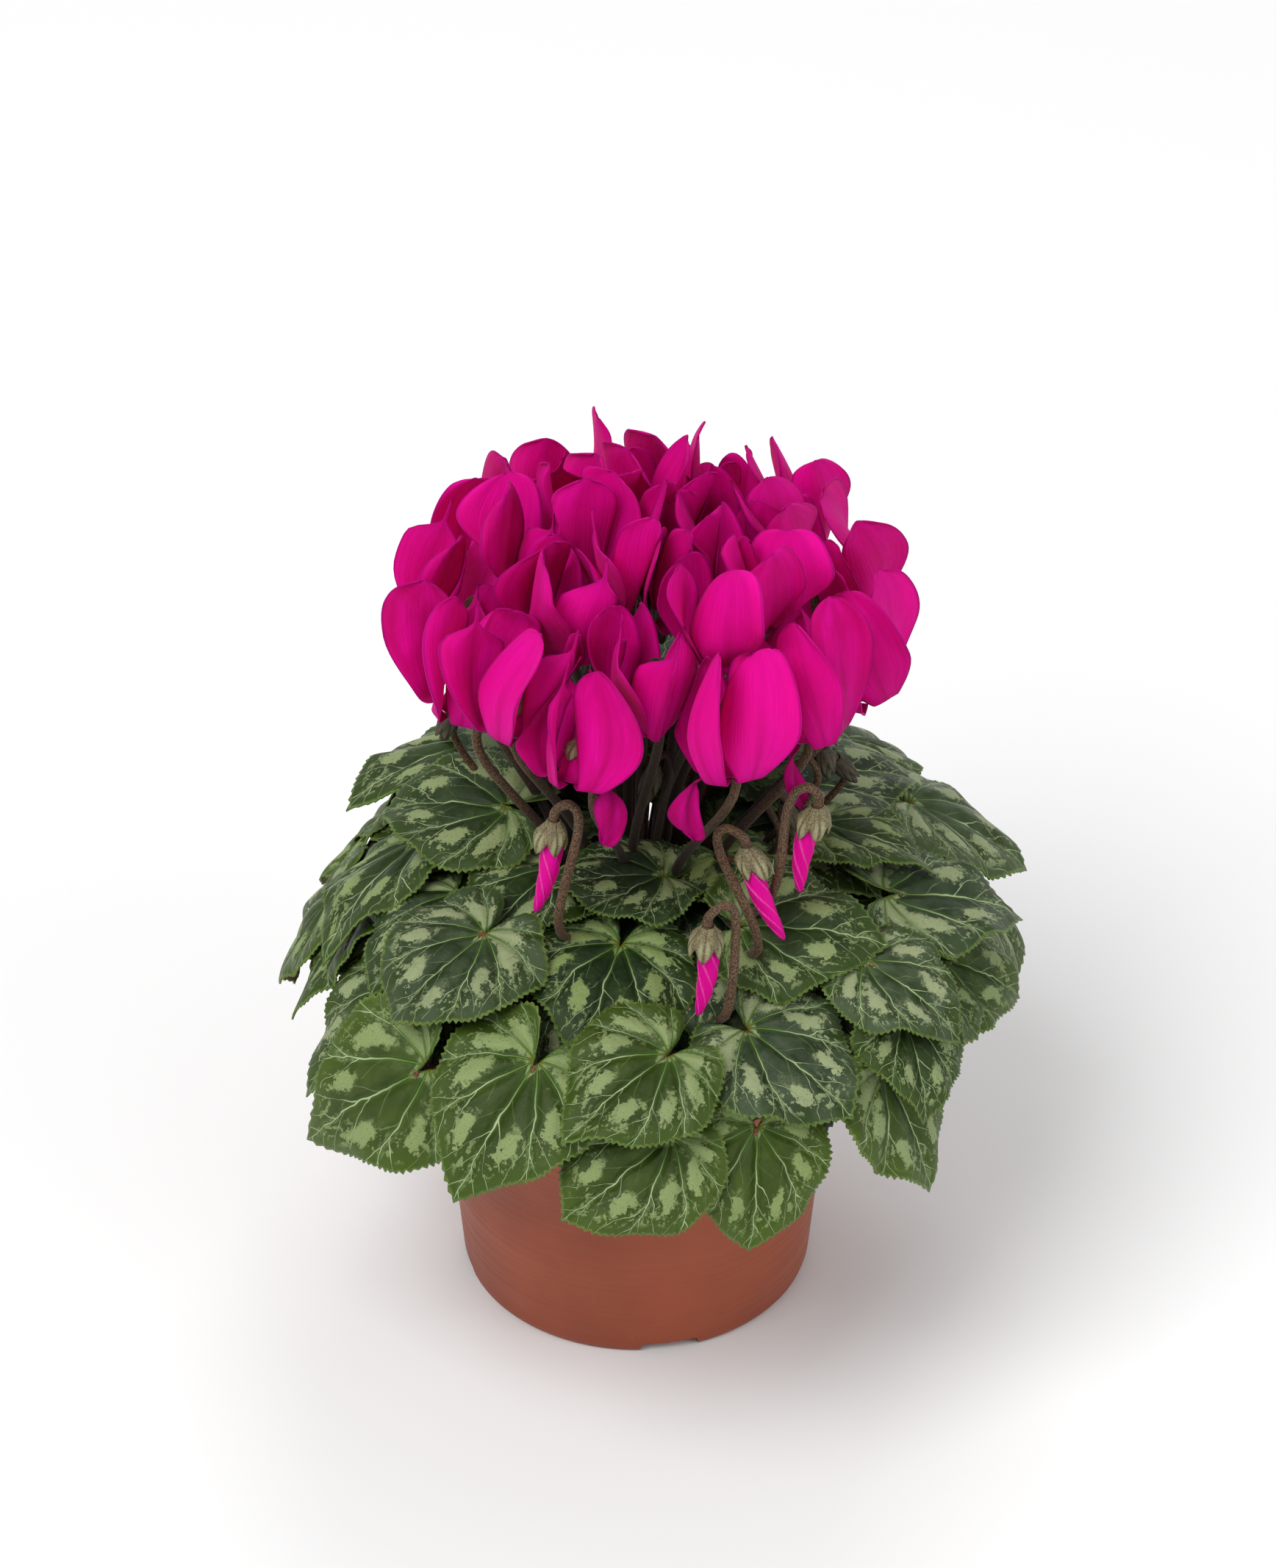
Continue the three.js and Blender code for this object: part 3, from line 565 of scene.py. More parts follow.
def peat():
    """Dark fibrous peat with paler fibres and crumbs."""
    finish = Finish("peat", 0.95, Specular_IOR_Level=0.2)
    place = finish.object_place()
    crumb = finish.noise(place, 420, 6, 0.7)
    fibre = finish.noise(finish.mapped(place, scale=(3, 1, 1)), 500, 2)
    colour = finish.mix(finish.ramp(crumb, 0.3, 0.7), *COLOURS["peat"])
    finish.colour(finish.mix(finish.ramp(fibre, 0.62, 0.7, 0.0, 0.6), colour, COLOURS["peat_fibre"]))
    finish.bump(crumb, 1.2)
    return finish.material


def corky_skin():
    """The tuber's grey-brown cork, cracked in small plates."""
    finish = Finish("corky_skin", 0.9, Specular_IOR_Level=0.2)
    place = finish.object_place()
    cracks = finish.ramp(finish.cell_edges(place, 260), 0.0, 0.12)
    cloud = finish.noise(place, 130, 5)
    colour = finish.mix(cloud, *COLOURS["cork"])
    finish.colour(finish.mix(cracks, COLOURS["cork_crack"], colour))
    finish.bump(finish.plus(cracks, cloud), 0.5)
    return finish.material


def speckled_skin(name, tones, blush, shaded=0.0):
    """The downy skin of a stalk: fine dark speckles on a paler ground, with a blush. It may have
    painted shade among the stalks in the middle."""
    finish = Finish(name, 0.6, Specular_IOR_Level=0.2, Sheen_Weight=0.1, Sheen_Roughness=0.4)
    place = finish.object_place()
    fine = finish.noise(place, 2600, 2, 0.6)
    cloud = finish.noise(place, 90, 3)
    colour = finish.mix(finish.ramp(fine, 0.42, 0.58), *tones)
    colour = finish.mix(finish.ramp(cloud, 0.35, 0.75), colour, blush, "MULTIPLY")
    x, y, _ = finish.parts(place)
    out = finish.length(finish.math("SUBTRACT", x, DOME_X * MM), y)
    # Painted shade among the stalks in the middle of the plant.
    inside = finish.ramp(out, 0.046, 0.026, 0.0, shaded)
    finish.colour(finish.mix(inside, colour, COLOURS["stem_shade"]))
    finish.bump(fine, 0.12)
    return finish.material


class LeafMap:
    """Where a point of the blade lies among the veins, in leaf lengths from the joint."""

    def __init__(self, finish):
        zoom = 1 / LEAF_UV["scale"]
        shift = (-LEAF_UV["x"] * zoom, -LEAF_UV["y"] * zoom, 0)
        self.flat = finish.mapped(finish.uv(), shift, (zoom, zoom, 1))
        self.seed = finish.number("leaf_number")
        self.rim = finish.number("to_rim")
        x, y, _ = finish.parts(self.flat)
        outward = finish.length(x, y)
        sway = finish.ramp(outward, 0.05, 0.5)
        x = finish.scaled(self.drift(finish, 0), sway, x)
        y = finish.scaled(self.drift(finish, 7), sway, y)
        self.outward = finish.length(x, y)
        angle = finish.math("ARCTAN2", x, y)
        self.angle = finish.math("DIVIDE", angle, finish.scaled(outward, -VEIN["sweep"], 1))
        half_gap = VEIN["spacing"] / 2
        from_vein = finish.math("PINGPONG", self.angle, half_gap)
        self.beside = finish.times(from_vein, outward)
        self.in_gap = finish.times(finish.math("SUBTRACT", half_gap, from_vein), outward)
        turns = finish.math("DIVIDE", self.angle, VEIN["spacing"])
        self.gap_number = finish.plus(finish.math("FLOOR", turns), self.seed)
        self.lines = self.vein_lines(finish, finish.math("FRACT", turns))

    def drift(self, finish, shift):
        noise = finish.noise(finish.mapped(self.flat, (shift, 0, 0)), 4.5, 2, seed=self.seed)
        return finish.scaled(noise, VEIN["sway"], -VEIN["sway"] / 2)

    def vein_lines(self, finish, turn):
        """The pale lines: main veins, and side veins that leave them like a herringbone."""
        width = finish.ramp(self.rim, 0.2, 1.0, VEIN["width"], VEIN["rim_width"])
        main = finish.ramp(finish.math("DIVIDE", self.beside, width), 1.0, 0.35)
        step = finish.times(finish.math("GREATER_THAN", turn, 0.5), VEIN["side_step"])
        start = finish.plus(finish.scaled(self.beside, -VEIN["side_slant"], self.outward), step)
        side = finish.math("PINGPONG", start, VEIN["side_spacing"])
        width = finish.ramp(self.beside, 0.0, 0.12, VEIN["width"], VEIN["side_width"])
        side = finish.ramp(finish.math("DIVIDE", side, width), 1.0, 0.3)
        patchy = finish.ramp(finish.noise(self.flat, 9, 2, seed=self.seed), 0.36, 0.58, 0.25, 1.0)
        side = finish.times(side, finish.ramp(start, 0.3, 0.42), patchy)
        return finish.math("MAXIMUM", main, side)


def leaf_markings(finish, leaf):
    """How pale a point is, from 0 to 1: a patch in each gap between the main veins, in a rough
    ring, and strokes that fray out from it towards the rim."""
    fine = finish.noise(leaf.flat, 42, 4, 0.65, seed=leaf.seed)
    broad = finish.noise(leaf.flat, 13, 2, seed=leaf.seed)
    strokes_place = finish.place(finish.times(leaf.angle, 3.4), finish.times(leaf.rim, 3))
    strokes = finish.noise(strokes_place, 3.6, 3, 0.6, seed=leaf.seed)
    chance = finish.chance(leaf.gap_number)
    centre = finish.scaled(chance, 0.14, 0.52)
    high = finish.math("DIVIDE", finish.math("SUBTRACT", leaf.rim, centre), 0.2)
    wide = finish.math("DIVIDE", leaf.in_gap, finish.scaled(chance, -0.03, 0.095))
    reach = finish.length(high, wide)
    reach = finish.plus(reach, finish.scaled(fine, 1.7, -0.85), finish.scaled(broad, 2.2, -1.1))
    patch = finish.ramp(reach, 0.9, finish.ramp(high, -0.1, -0.9, 0.8, 0.15))
    holes = finish.ramp(finish.noise(leaf.flat, 62, 2, 0.6, seed=leaf.seed), 0.62, 0.67, 1.0, 0.35)
    patch = finish.times(patch, holes)
    band = finish.times(finish.ramp(leaf.rim, 0.45, 0.68), finish.ramp(leaf.rim, 0.93, 0.82))
    frayed = finish.plus(strokes, finish.scaled(fine, 0.5, -0.25))
    frayed = finish.times(finish.ramp(frayed, 0.54, 0.6), band)
    near_vein = finish.times(finish.ramp(leaf.beside, 0.045, 0.012), finish.ramp(fine, 0.4, 0.6), band)
    pale = finish.math("MAXIMUM", patch, finish.times(frayed, 0.8))
    return finish.math("MAXIMUM", pale, finish.times(near_vein, 0.7))


def marbled_leaf():
    """Upper side: dark green, a ring of silver-green patches between the veins, pale veins that
    fork, frayed pale strokes towards the rim and small yellow-green teeth. Some leaves have a
    painted grey sheen, and those in the shade have painted shade."""
    finish = Finish("marbled_leaf", 0.45, Specular_IOR_Level=0.24)
    leaf = LeafMap(finish)
    tone = finish.number("leaf_tone")
    silver = finish.number("leaf_silver")
    cloud = finish.noise(leaf.flat, 5, 3, seed=leaf.seed)
    speck = finish.noise(leaf.flat, 150, 2, 0.6, seed=leaf.seed)
    puffs = finish.noise(leaf.flat, 16, 2, seed=leaf.seed)
    green, rim_green, cloud_green = (
        finish.mix(tone, *COLOURS[name]) for name in ("leaf", "leaf_rim", "leaf_cloud")
    )
    green = finish.mix(finish.ramp(leaf.rim, 0.6, 1.0), green, rim_green)
    green = finish.mix(finish.ramp(cloud, 0.4, 0.75), green, cloud_green)
    # A painted grey sheen on some of the leaves.
    grey = finish.times(finish.ramp(silver, 0.55, 1.0), finish.ramp(cloud, 0.35, 0.6), 0.5)
    green = finish.mix(grey, green, COLOURS["leaf_grey_sheen"])
    silvery = finish.mix(silver, *COLOURS["leaf_silver"])
    silvery = finish.mix(finish.ramp(speck, 0.35, 0.6, 0.45, 0.0), silvery, COLOURS["leaf_speck"])
    vein = finish.mix(finish.ramp(leaf.outward, 0.1, 0.45), *COLOURS["leaf_vein"])
    layers = [
        (finish.times(leaf_markings(finish, leaf), 0.9), silvery),
        (finish.ramp(leaf.beside, 0.035, 0.0, 0.0, 0.35), COLOURS["leaf_groove"]),
        (finish.times(leaf.lines, 0.9), vein),
        (finish.ramp(leaf.outward, 0.06, 0.02), COLOURS["leaf_joint"]),
        (finish.ramp(leaf.rim, 0.955, 0.995, 0.0, 0.8), COLOURS["leaf_teeth"]),
        # Painted shade on the leaves in the shade.
        (finish.number("in_shade"), COLOURS["leaf_shade"]),
    ]
    colour = green
    for amount, layer in layers:
        colour = finish.mix(amount, colour, layer)
    finish.colour(colour)
    finish.rough(finish.ramp(speck, 0.3, 0.7, 0.38, 0.52))
    height = finish.scaled(leaf.lines, -0.6, finish.times(speck, 0.25))
    height = finish.plus(height, finish.ramp(leaf.beside, 0.0, 0.06), finish.times(puffs, 0.8))
    finish.bump(height, 0.6)
    return finish.material


def leaf_underside():
    """Under side: dull olive to reddish, its veins standing out, with painted shade on the leaves
    in the shade.
    """
    finish = Finish("leaf_underside", 0.6, Specular_IOR_Level=0.3)
    leaf = LeafMap(finish)
    cloud = finish.noise(leaf.flat, 6, 3, seed=leaf.seed)
    colour = finish.mix(finish.ramp(cloud, 0.35, 0.7), *COLOURS["under"])
    colour = finish.mix(finish.times(leaf.lines, 0.7), colour, COLOURS["under_vein"])
    # Painted shade on the leaves in the shade.
    finish.colour(finish.mix(finish.number("in_shade"), colour, COLOURS["under_shade"]))
    finish.bump(finish.scaled(cloud, 0.4, leaf.lines), 0.35)
    return finish.material


def velvet_petal():
    """Magenta petal: fine lines along it, a purple edge, darker where it folds at the mouth, and
    painted shade along its middle crease and on the hanging petals. A part of the light passes
    through it."""
    finish = Finish("velvet_petal", 0.6, Specular_IOR_Level=0.08, Sheen_Weight=0.1, Sheen_Roughness=0.35)
    finish.shader.inputs["Sheen Tint"].default_value = COLOURS["petal_sheen"]
    x, y, _ = finish.parts(finish.uv())
    tone = finish.number("petal_tone")
    aside = finish.math("ABSOLUTE", finish.scaled(x, 2, -1))
    streak_place = finish.place(finish.times(x, 60), finish.times(y, 2.2), tone)
    streaks = finish.noise(streak_place, 1, 3, 0.6)
    cloud = finish.noise(finish.place(x, y, tone), 3, 3)
    # Painted shade along the middle of the petal, where it creases.
    crease_shade = finish.times(finish.ramp(aside, 0.22, 0.0), finish.ramp(y, 0.8, 0.2), 0.45)
    edge = finish.math("MAXIMUM", finish.ramp(aside, 0.93, 0.98), finish.ramp(y, 0.975, 0.99))
    layers = [
        (finish.ramp(cloud, 0.3, 0.8), "petal_cloud"),
        (finish.ramp(streaks, 0.35, 0.75, 0.0, 0.3), "petal_streak"),
        (crease_shade, "petal_crease_shade"),
        (finish.ramp(y, 0.30, 0.04, 0.0, 0.6), "petal_mouth"),
        (finish.times(edge, 0.5), "petal_edge"),
        (finish.number("pale_edge"), "bud_edge"),
        # Painted shade on the hanging petals.
        (finish.number("petal_shade"), "petal_shade"),
    ]
    colour = finish.mix(tone, *COLOURS["petal"])
    for amount, name in layers:
        colour = finish.mix(amount, colour, COLOURS[name])
    finish.colour(colour)
    finish.bump(finish.plus(streaks, finish.times(cloud, 0.8)), 0.22)
    through = finish.node("BsdfTranslucent", finish.mix(0.5, colour, COLOURS["petal_through"]))
    both = finish.node("MixShader", 0.28, finish.shader.outputs[0], through.outputs[0])
    finish.put(finish.tree.nodes["Material Output"].inputs["Surface"], both.outputs[0])
    return finish.material


def olive_calyx():
    """Olive-beige calyx: a brown rib up each of its lobes with a paler stripe on either side."""
    finish = Finish("olive_calyx", 0.6, Specular_IOR_Level=0.3)
    x, y, _ = finish.parts(finish.uv())
    aside = finish.math("PINGPONG", finish.times(x, 5), 0.5)
    fine = finish.noise(finish.object_place(), 2200, 2)
    stripe = finish.times(finish.ramp(aside, 0.04, 0.12), finish.ramp(aside, 0.34, 0.2))
    stripe = finish.times(stripe, finish.ramp(y, 0.25, 0.6), 0.5)
    colour = finish.mix(finish.ramp(fine, 0.4, 0.6), *COLOURS["calyx"])
    colour = finish.mix(stripe, colour, COLOURS["calyx_stripe"])
    colour = finish.mix(finish.ramp(aside, 0.05, 0.0, 0.0, 0.5), colour, COLOURS["calyx_rib"])
    # Painted shade on the calyces and young buds in the shade.
    finish.colour(finish.mix(finish.number("shaded"), colour, COLOURS["calyx_shade"]))
    finish.bump(finish.plus(fine, finish.ramp(aside, 0.0, 0.1)), 0.15)
    return finish.material


TERRACOTTA = terracotta_plastic()
PEAT = peat()
CORK = corky_skin()
# The stems get painted shade in the middle of the plant.
STEM_SKIN = speckled_skin("stem_skin", COLOURS["stem"], COLOURS["stem_blush"], 0.85)
STALK_SKIN = speckled_skin("stalk_skin", COLOURS["stalk"], COLOURS["stalk_blush"])
MARBLED_LEAF = marbled_leaf()
LEAF_UNDERSIDE = leaf_underside()
VELVET = velvet_petal()
OLIVE = olive_calyx()


# Pot

def turned_profile(name, profile, facets):
    """A closed body of revolution, spun from [radius, height] points that run up its outside."""
    points = [(radius * MM, 0, height * MM) for radius, height in profile]
    mesh = bpy.data.meshes.new(name)
    mesh.from_pydata(points, [(i, i + 1) for i in range(len(points) - 1)], [])
    piece = new_object(name, mesh)
    turn = {"angle": 2 * math.pi, "center": (0, 0, 0), "axis": (0, 0, 1)}
    edited(
        piece,
        lambda: bpy.ops.mesh.spin(steps=facets, use_auto_merge=True, **turn),
        lambda: bpy.ops.mesh.select_all(action="SELECT"),
        lambda: merge_doubles(0.002),
        turn_outwards,
    )
    return piece


def foot_slots():
    """Blocks with rounded edges where the slots cross the foot ring."""
    slots = []
    for i in range(FOOT["slots"]):
        bearing = FOOT["slot_bearing"] + 360 * i / FOOT["slots"]
        deselect_all()
        bpy.ops.mesh.primitive_cube_add(size=1)
        slot = bpy.context.object
        slot.dimensions = (FOOT["slot_width"] * MM, 3 * FOOT["ring"] * MM, 2 * FOOT["rise"] * MM)
        slot.location = compass(bearing) * POT["base_radius"] * MM
        slot.rotation_euler.z = math.radians(bearing)
        bpy.ops.object.transform_apply(location=True, rotation=True, scale=True)
        apply_modifier(slot, "BEVEL", width=FOOT["slot_bevel"] * MM, segments=4)
        slots.append(slot)
    return slots


def drain_plugs():
    """Round bars where the drainage holes pass the floor."""
    plugs = []
    for i in range(DRAIN["count"]):
        angle = 2 * math.pi * (i + 0.5) / DRAIN["count"]
        place = (DRAIN["ring"] * math.cos(angle) * MM, DRAIN["ring"] * math.sin(angle) * MM, 0)
        size = {"radius": DRAIN["radius"] * MM, "depth": 4 * POT["floor"] * MM}
        deselect_all()
        bpy.ops.mesh.primitive_cylinder_add(vertices=DRAIN["facets"], location=place, **size)
        bpy.ops.object.transform_apply(location=True, rotation=True, scale=True)
        plugs.append(bpy.context.object)
    return plugs


def make_pot():
    """A tapered wall with a stepped band and rolled rim, on a foot ring with four slots."""
    base, height, wall, floor = (POT[k] for k in ("base_radius", "height", "wall", "floor"))
    step_height, band, flare = (POT[k] for k in ("step_height", "band_radius", "band_flare"))
    rim, edge = POT["rim_radius"], POT["edge"]
    step_radius = base + POT["taper"] * step_height
    under_rim = height - POT["rim_height"]
    boss, rise, ring_inside = FOOT["boss_radius"], FOOT["rise"], base - FOOT["ring"]
    profile = [
        (0, 0),
        (boss - edge, 0),
        (boss, 0.5),
        (boss + 1, rise),
        (ring_inside, rise),
        (ring_inside + 0.9, 0.4),
        (ring_inside + 1.6, 0),
        (base - 1.6, 0),
        (base - 0.9, 0.25),
        (base - 0.3, 0.9),
        (base + 0.1, 2.2),
        (base + POT["taper"] * 0.5 * step_height, 0.5 * step_height),
        (step_radius - 0.2, step_height - 0.6),
        (step_radius + 0.5, step_height + 0.4),
        (band - 0.8, step_height + 1.5),
        (band, step_height + 2.6),
        (band + flare, under_rim - 0.9),
        (band + flare + 0.5, under_rim - 0.2),
        (rim - edge, under_rim),
        (rim, under_rim + edge),
        (rim, height - edge),
        (rim - edge, height),
        (band + flare - wall + edge, height),
        (band + flare - wall, height - edge),
        (band - wall, step_height + POT["step"] + POT["step_floor"]),
        (step_radius - wall, step_height + POT["step_floor"]),
        (base - wall + 0.3, floor + 2),
        (base - wall - 1.5, floor),
        (0, floor),
    ]
    pot = turned_profile("pot_shell", profile, POT["facets"])
    cutter = joined(foot_slots() + drain_plugs(), "cutter")
    apply_modifier(pot, "BOOLEAN", operation="DIFFERENCE", solver="EXACT", object=cutter)
    bpy.data.objects.remove(cutter)
    dress(pot, TERRACOTTA)
    finish_piece(pot, "pot", "pot", smooth_angle=35)


def make_crumbs(top):
    """Loose crumbs of peat, each of its own size and form, on the soil's top."""
    deselect_all()
    bpy.ops.mesh.primitive_ico_sphere_add(subdivisions=1, radius=1 * MM)
    blank = bpy.context.object
    round_places = places_of(blank)
    crumbs = []
    for i in range(CRUMBS["count"]):
        crumb = copy_of(blank, "crumb")
        distance = CRUMBS["nearest"] + CRUMBS["spread"] * math.sqrt(0.5 + 0.5 * draw(i, 41))
        bearing = math.pi * draw(i, 42)
        size = CRUMBS["radius"] + CRUMBS["radius_range"] * draw(i, 43)
        shape = round_places * size * (1 + 0.3 * np.sin(5 * round_places + i))
        shape += (distance * math.cos(bearing), distance * math.sin(bearing), top - 0.2 + 0.3 * size)
        set_places(crumb, shape)
        crumbs.append(crumb)
    bpy.data.objects.remove(blank)
    return crumbs


def make_soil():
    """Peat that fills the pot, its top raised in lumps, with loose crumbs on it."""
    gap, side_gap, floor = SOIL["gap"], SOIL["side_gap"], POT["floor"]
    outer = POT["base_radius"] - POT["wall"] - side_gap
    top = SOIL["level"] + SOIL["crown"]
    step = POT["step_height"] + POT["step_floor"] + gap
    seat = TUBER["top"] - TUBER["depth"] - gap
    widest = POT["band_radius"] - POT["wall"] - gap
    rings = np.linspace(TUBER["radius"] + gap, widest, SOIL["rings"])
    profile = [
        (0, floor + gap),
        (outer, floor + gap),
        (outer + POT["taper"] * (step - floor), step),
        (widest, step + POT["step"]),
        (widest, top - SOIL["rim_drop"]),
        *[(radius, top) for radius in rings[-2::-1]],
        (TUBER["base_radius"] + side_gap, seat),
        (0, seat),
    ]
    soil = turned_profile("peat_fill", profile, SOIL["facets"])
    places = places_of(soil)
    lumpy = places[:, 2] > top - 1
    x, y = places[lumpy, 0], places[lumpy, 1]
    lumps = np.sin(0.31 * x + 1.1 * np.sin(0.23 * y)) * np.sin(0.37 * y + 0.9 * np.sin(0.29 * x))
    small_lumps = np.sin(1.3 * x + 2 * np.sin(0.9 * y)) * np.sin(1.1 * y)
    places[lumpy, 2] += SOIL["lump"] * lumps + SOIL["small_lump"] * small_lumps
    set_places(soil, places)
    soil = joined([soil, *make_crumbs(top)], "peat_fill")
    dress(soil, PEAT)
    finish_piece(soil, "soil", "soil", smooth_angle=60)


def make_tuber():
    """The flat corky tuber, knobbly on its upper side."""
    radius, top, shoulder = (TUBER[k] for k in ("radius", "top", "shoulder"))
    base_radius, top_radius = TUBER["base_radius"], TUBER["top_radius"]
    profile = [
        (0, top - TUBER["depth"]),
        (base_radius, top - TUBER["depth"]),
        (radius - 1.2, shoulder - 3.4),
        (radius, shoulder - 0.6),
        (radius - 1.2, shoulder + 0.8),
        (0.5 * (radius + top_radius), 0.5 * (shoulder + top) + 0.4),
        (top_radius, top - 0.2),
        (0.5 * top_radius, top - 0.5),
        (0, top - 1),
    ]
    tuber = turned_profile("tuber", profile, TUBER["facets"])
    edited(tuber, lambda: bpy.ops.mesh.subdivide(number_cuts=1))
    places = places_of(tuber)
    x, y, z = places.T
    knobs = np.sin(0.9 * x + 2) * np.sin(0.8 * y) + 0.6 * np.sin(2.1 * x) * np.sin(1.9 * y + 1)
    places[:, 2] += np.where(z > shoulder - 1, TUBER["knob"] * knobs, 0)
    set_places(tuber, places)
    dress(tuber, CORK)
    finish_piece(tuber, "stalk", "crown")


# Leaves

# Bearing and drop of the stalk's joint, bearing and drop of the tip, layer, half width and roll
# about the midrib in degrees, from the lowest leaf up.
UNDER_FRONT = [
    (73, 58, 83, 86, 0.93, 18, 10),
    (133, 40, 128, 60, 0.95, 18, -10),
    (-83, 56, -74, 82, 0.93, 17, 20),
    (-22, 38, -13, 58, 0.92, 16, 5),
    (32, 44, 38, 66, 0.91, 17, -5),
    (109, 20, 74, 40, 0.92, 18, 8),
    (-89, 25, -73, 42, 0.92, 16, -8),
    (22, 26, 9, 46, 0.94, 16, 6),
    (150, 18, 165, 38, 0.94, 17, 0),
]
FRONT = [
    (17, 66, 14, 100, 0.99, 19, 0),
    (42, 64, 45, 104, 0.98, 19, -12),
    (3, 66, -13, 87, 0.99, 20, 5),
    (-56, 51, -59, 85, 0.99, 20, 6),
    (-39, 60, -57, 97, 1.02, 22, -6),
    (-20, 52, -27, 85, 1.03, 22, 0),
    (50, 56, 42, 76, 1, 16, 0),
    (-131, 36, -104, 50, 1.02, 19, -4),
    (-95, 37, -72, 58, 1.01, 20, 8),
    (69, 38, 87, 66, 1.01, 20, -8),
    (48, 43, 53, 65, 1.02, 17, 0),
    (19, 45, 31, 67, 1.02, 20, -4),
    (3, 49, -13, 66, 1.04, 19, 4),
    (-42, 36, -45, 57, 1.03, 21, 0),
    (-67, 32, -56, 54, 1.04, 18, 4),
    (-52, 18, -44, 38, 1.02, 18, 0),
    (85, 24, 81, 43, 1.03, 16, -6),
    (27, 27, 55, 43, 1.03, 20, 6),
    (52, 13, 43, 33, 1.03, 17, 0),
    (-10, 27, -13, 48, 1.04, 21, -4),
    (6, 14, -40, 22, 1.06, 17, 6),
    (-86, 20, -97, 40, 1.05, 21, -6),
]

# Rings of leaves at the back: count, first and last bearing, joint's drop, tip's drop, layer and
# half width.
UNDER_BACK_RING = (8, 100, 262, 62, 96, 0.95, 20)
BACK_RINGS = [(5, 112, 222, 46, 76, 0.99, 21), (3, 122, 216, 22, 46, 1.02, 21)]
# Rings of smaller leaves in the shade: under the others, and in the middle behind the stems.
INNER_RINGS = [
    (9, -176, 144, 14, 38, 0.9, 17),
    (13, -180, 152, 34, 58, 0.9, 17),
    (14, -125, 125, 52, 76, 0.9, 17),
    (6, 132, 228, 15, 40, 1.14, 18),
    (5, 142, 216, 10, 33, 1.36, 17),
]
# How far a leaf in a ring may differ from its place there, either way.
RING_RANGE = {"bearing": 3, "drop": 2.5, "turn": 8, "half_width": 1, "roll": 9}


def ring_of_leaves(ring, seed):
    count, first, last, joint_drop, tip_drop, layer, half_width = ring
    leaves = []
    for i in range(count):
        names = ("bearing", "drop", "turn", "half_width", "roll")
        drawn = {name: RING_RANGE[name] * draw(seed + i, k + 1) for k, name in enumerate(names)}
        bearing = first + (last - first) * i / (count - 1) + drawn["bearing"]
        joint = (bearing, joint_drop + drawn["drop"])
        tip = (bearing + drawn["turn"], tip_drop + drawn["drop"])
        leaves.append((*joint, *tip, layer, half_width + drawn["half_width"], drawn["roll"]))
    return leaves


def rings_of_leaves(rings, first_seed, seeds_apart):
    return [
        leaf
        for i, ring in enumerate(rings)
        for leaf in ring_of_leaves(ring, first_seed + i * seeds_apart)
    ]


UNDER_LEAVES = ring_of_leaves(UNDER_BACK_RING, 100) + UNDER_FRONT
TOP_LEAVES = rings_of_leaves(BACK_RINGS, 200, 100) + FRONT
INNER_LEAVES = rings_of_leaves(INNER_RINGS, 400, 20)
FIRST_INNER_ITEM = 60


def on_mound(bearing, drop, layer):
    """A place on the mound: bearing from the front, drop from its top, and layer, which is 1 on
    the mound's own surface."""
    out = layer * MOUND["radius"] * math.sin(math.radians(drop))
    up = layer * MOUND["rise"] * math.cos(math.radians(drop))
    return np.array([MOUND["x"], 0, MOUND["z"] + up]) + out * compass(bearing)


class Leaf:
    """A leaf's own frame and the form of its blade."""

    def __init__(self, row, item):
        joint_bearing, self.joint_drop, tip_bearing, tip_drop, layer, self.half_width, roll = row
        self.item = item
        self.joint = on_mound(joint_bearing, self.joint_drop, layer - LEAF["tuck"])
        tip = on_mound(tip_bearing, tip_drop, layer + LEAF["shingle"])
        self.length = np.linalg.norm(tip - self.joint)
        self.along = (tip - self.joint) / self.length
        middle = (self.joint + tip) / 2 - (MOUND["x"], 0, MOUND["z"])
        outward = middle / np.array([MOUND["radius"], MOUND["radius"], MOUND["rise"]]) ** 2
        outward = unit(outward - self.along * np.dot(outward, self.along))
        self.normal = turned_about(outward, self.along, math.radians(roll))
        self.across = np.cross(self.along, self.normal)
        self.lift = 0.0

    def rim_reach(self, turn):
        """How far the rim lies from the middle of the blade, in a direction from the tip."""
        slant = math.asin(self.half_width / (self.length * (1 - LEAF["middle"])))
        side = self.half_width / np.sin(np.minimum(slant + np.abs(turn), math.pi / 2))
        back = (math.pi - np.abs(turn)) / LEAF["cleft_spread"]
        cleft = 1 - LEAF["cleft"] * np.exp(-(back**2))
        from_shoulder = (np.abs(turn) - LEAF["shoulder_turn"]) / LEAF["shoulder_spread"]
        shoulder = 1 - LEAF["shoulder"] * np.exp(-(from_shoulder**2))
        return side * cleft * shoulder

    def height(self, u, v, part, turn):
        """How far the blade's middle layer stands over the joint's level."""
        t = v / self.length
        arch = np.where(t < 0, 0.5, 4) * LEAF["arch"] * self.length * t * (1 - t)
        droop = LEAF["droop"] * u * u / self.half_width
        wave = LEAF["wave"] * part**2 * np.sin(3 * turn + 3 * draw(self.item, 6))
        return arch - droop + wave

    def place(self, u, v, height):
        offsets = spread(u, self.across) + spread(v, self.along)
        return self.joint + offsets + spread(height, self.normal)

    def on_blade(self, part, turn):
        reach = part * self.rim_reach(turn)
        u = reach * np.sin(turn)
        v = LEAF["middle"] * self.length + reach * np.cos(turn)
        return self.place(u, v, self.height(u, v, part, turn))

    def find_lift(self, node):
        """How far the node's blade lies over the leaf's own layer."""
        places = places_of(node) - self.joint
        u, v, height = places @ self.across, places @ self.along, places @ self.normal
        from_middle = v - LEAF["middle"] * self.length
        turn = np.arctan2(u, from_middle)
        part = np.hypot(u, from_middle) / self.rim_reach(turn)
        self.lift = float(np.mean(height - self.height(u, v, part, turn)))


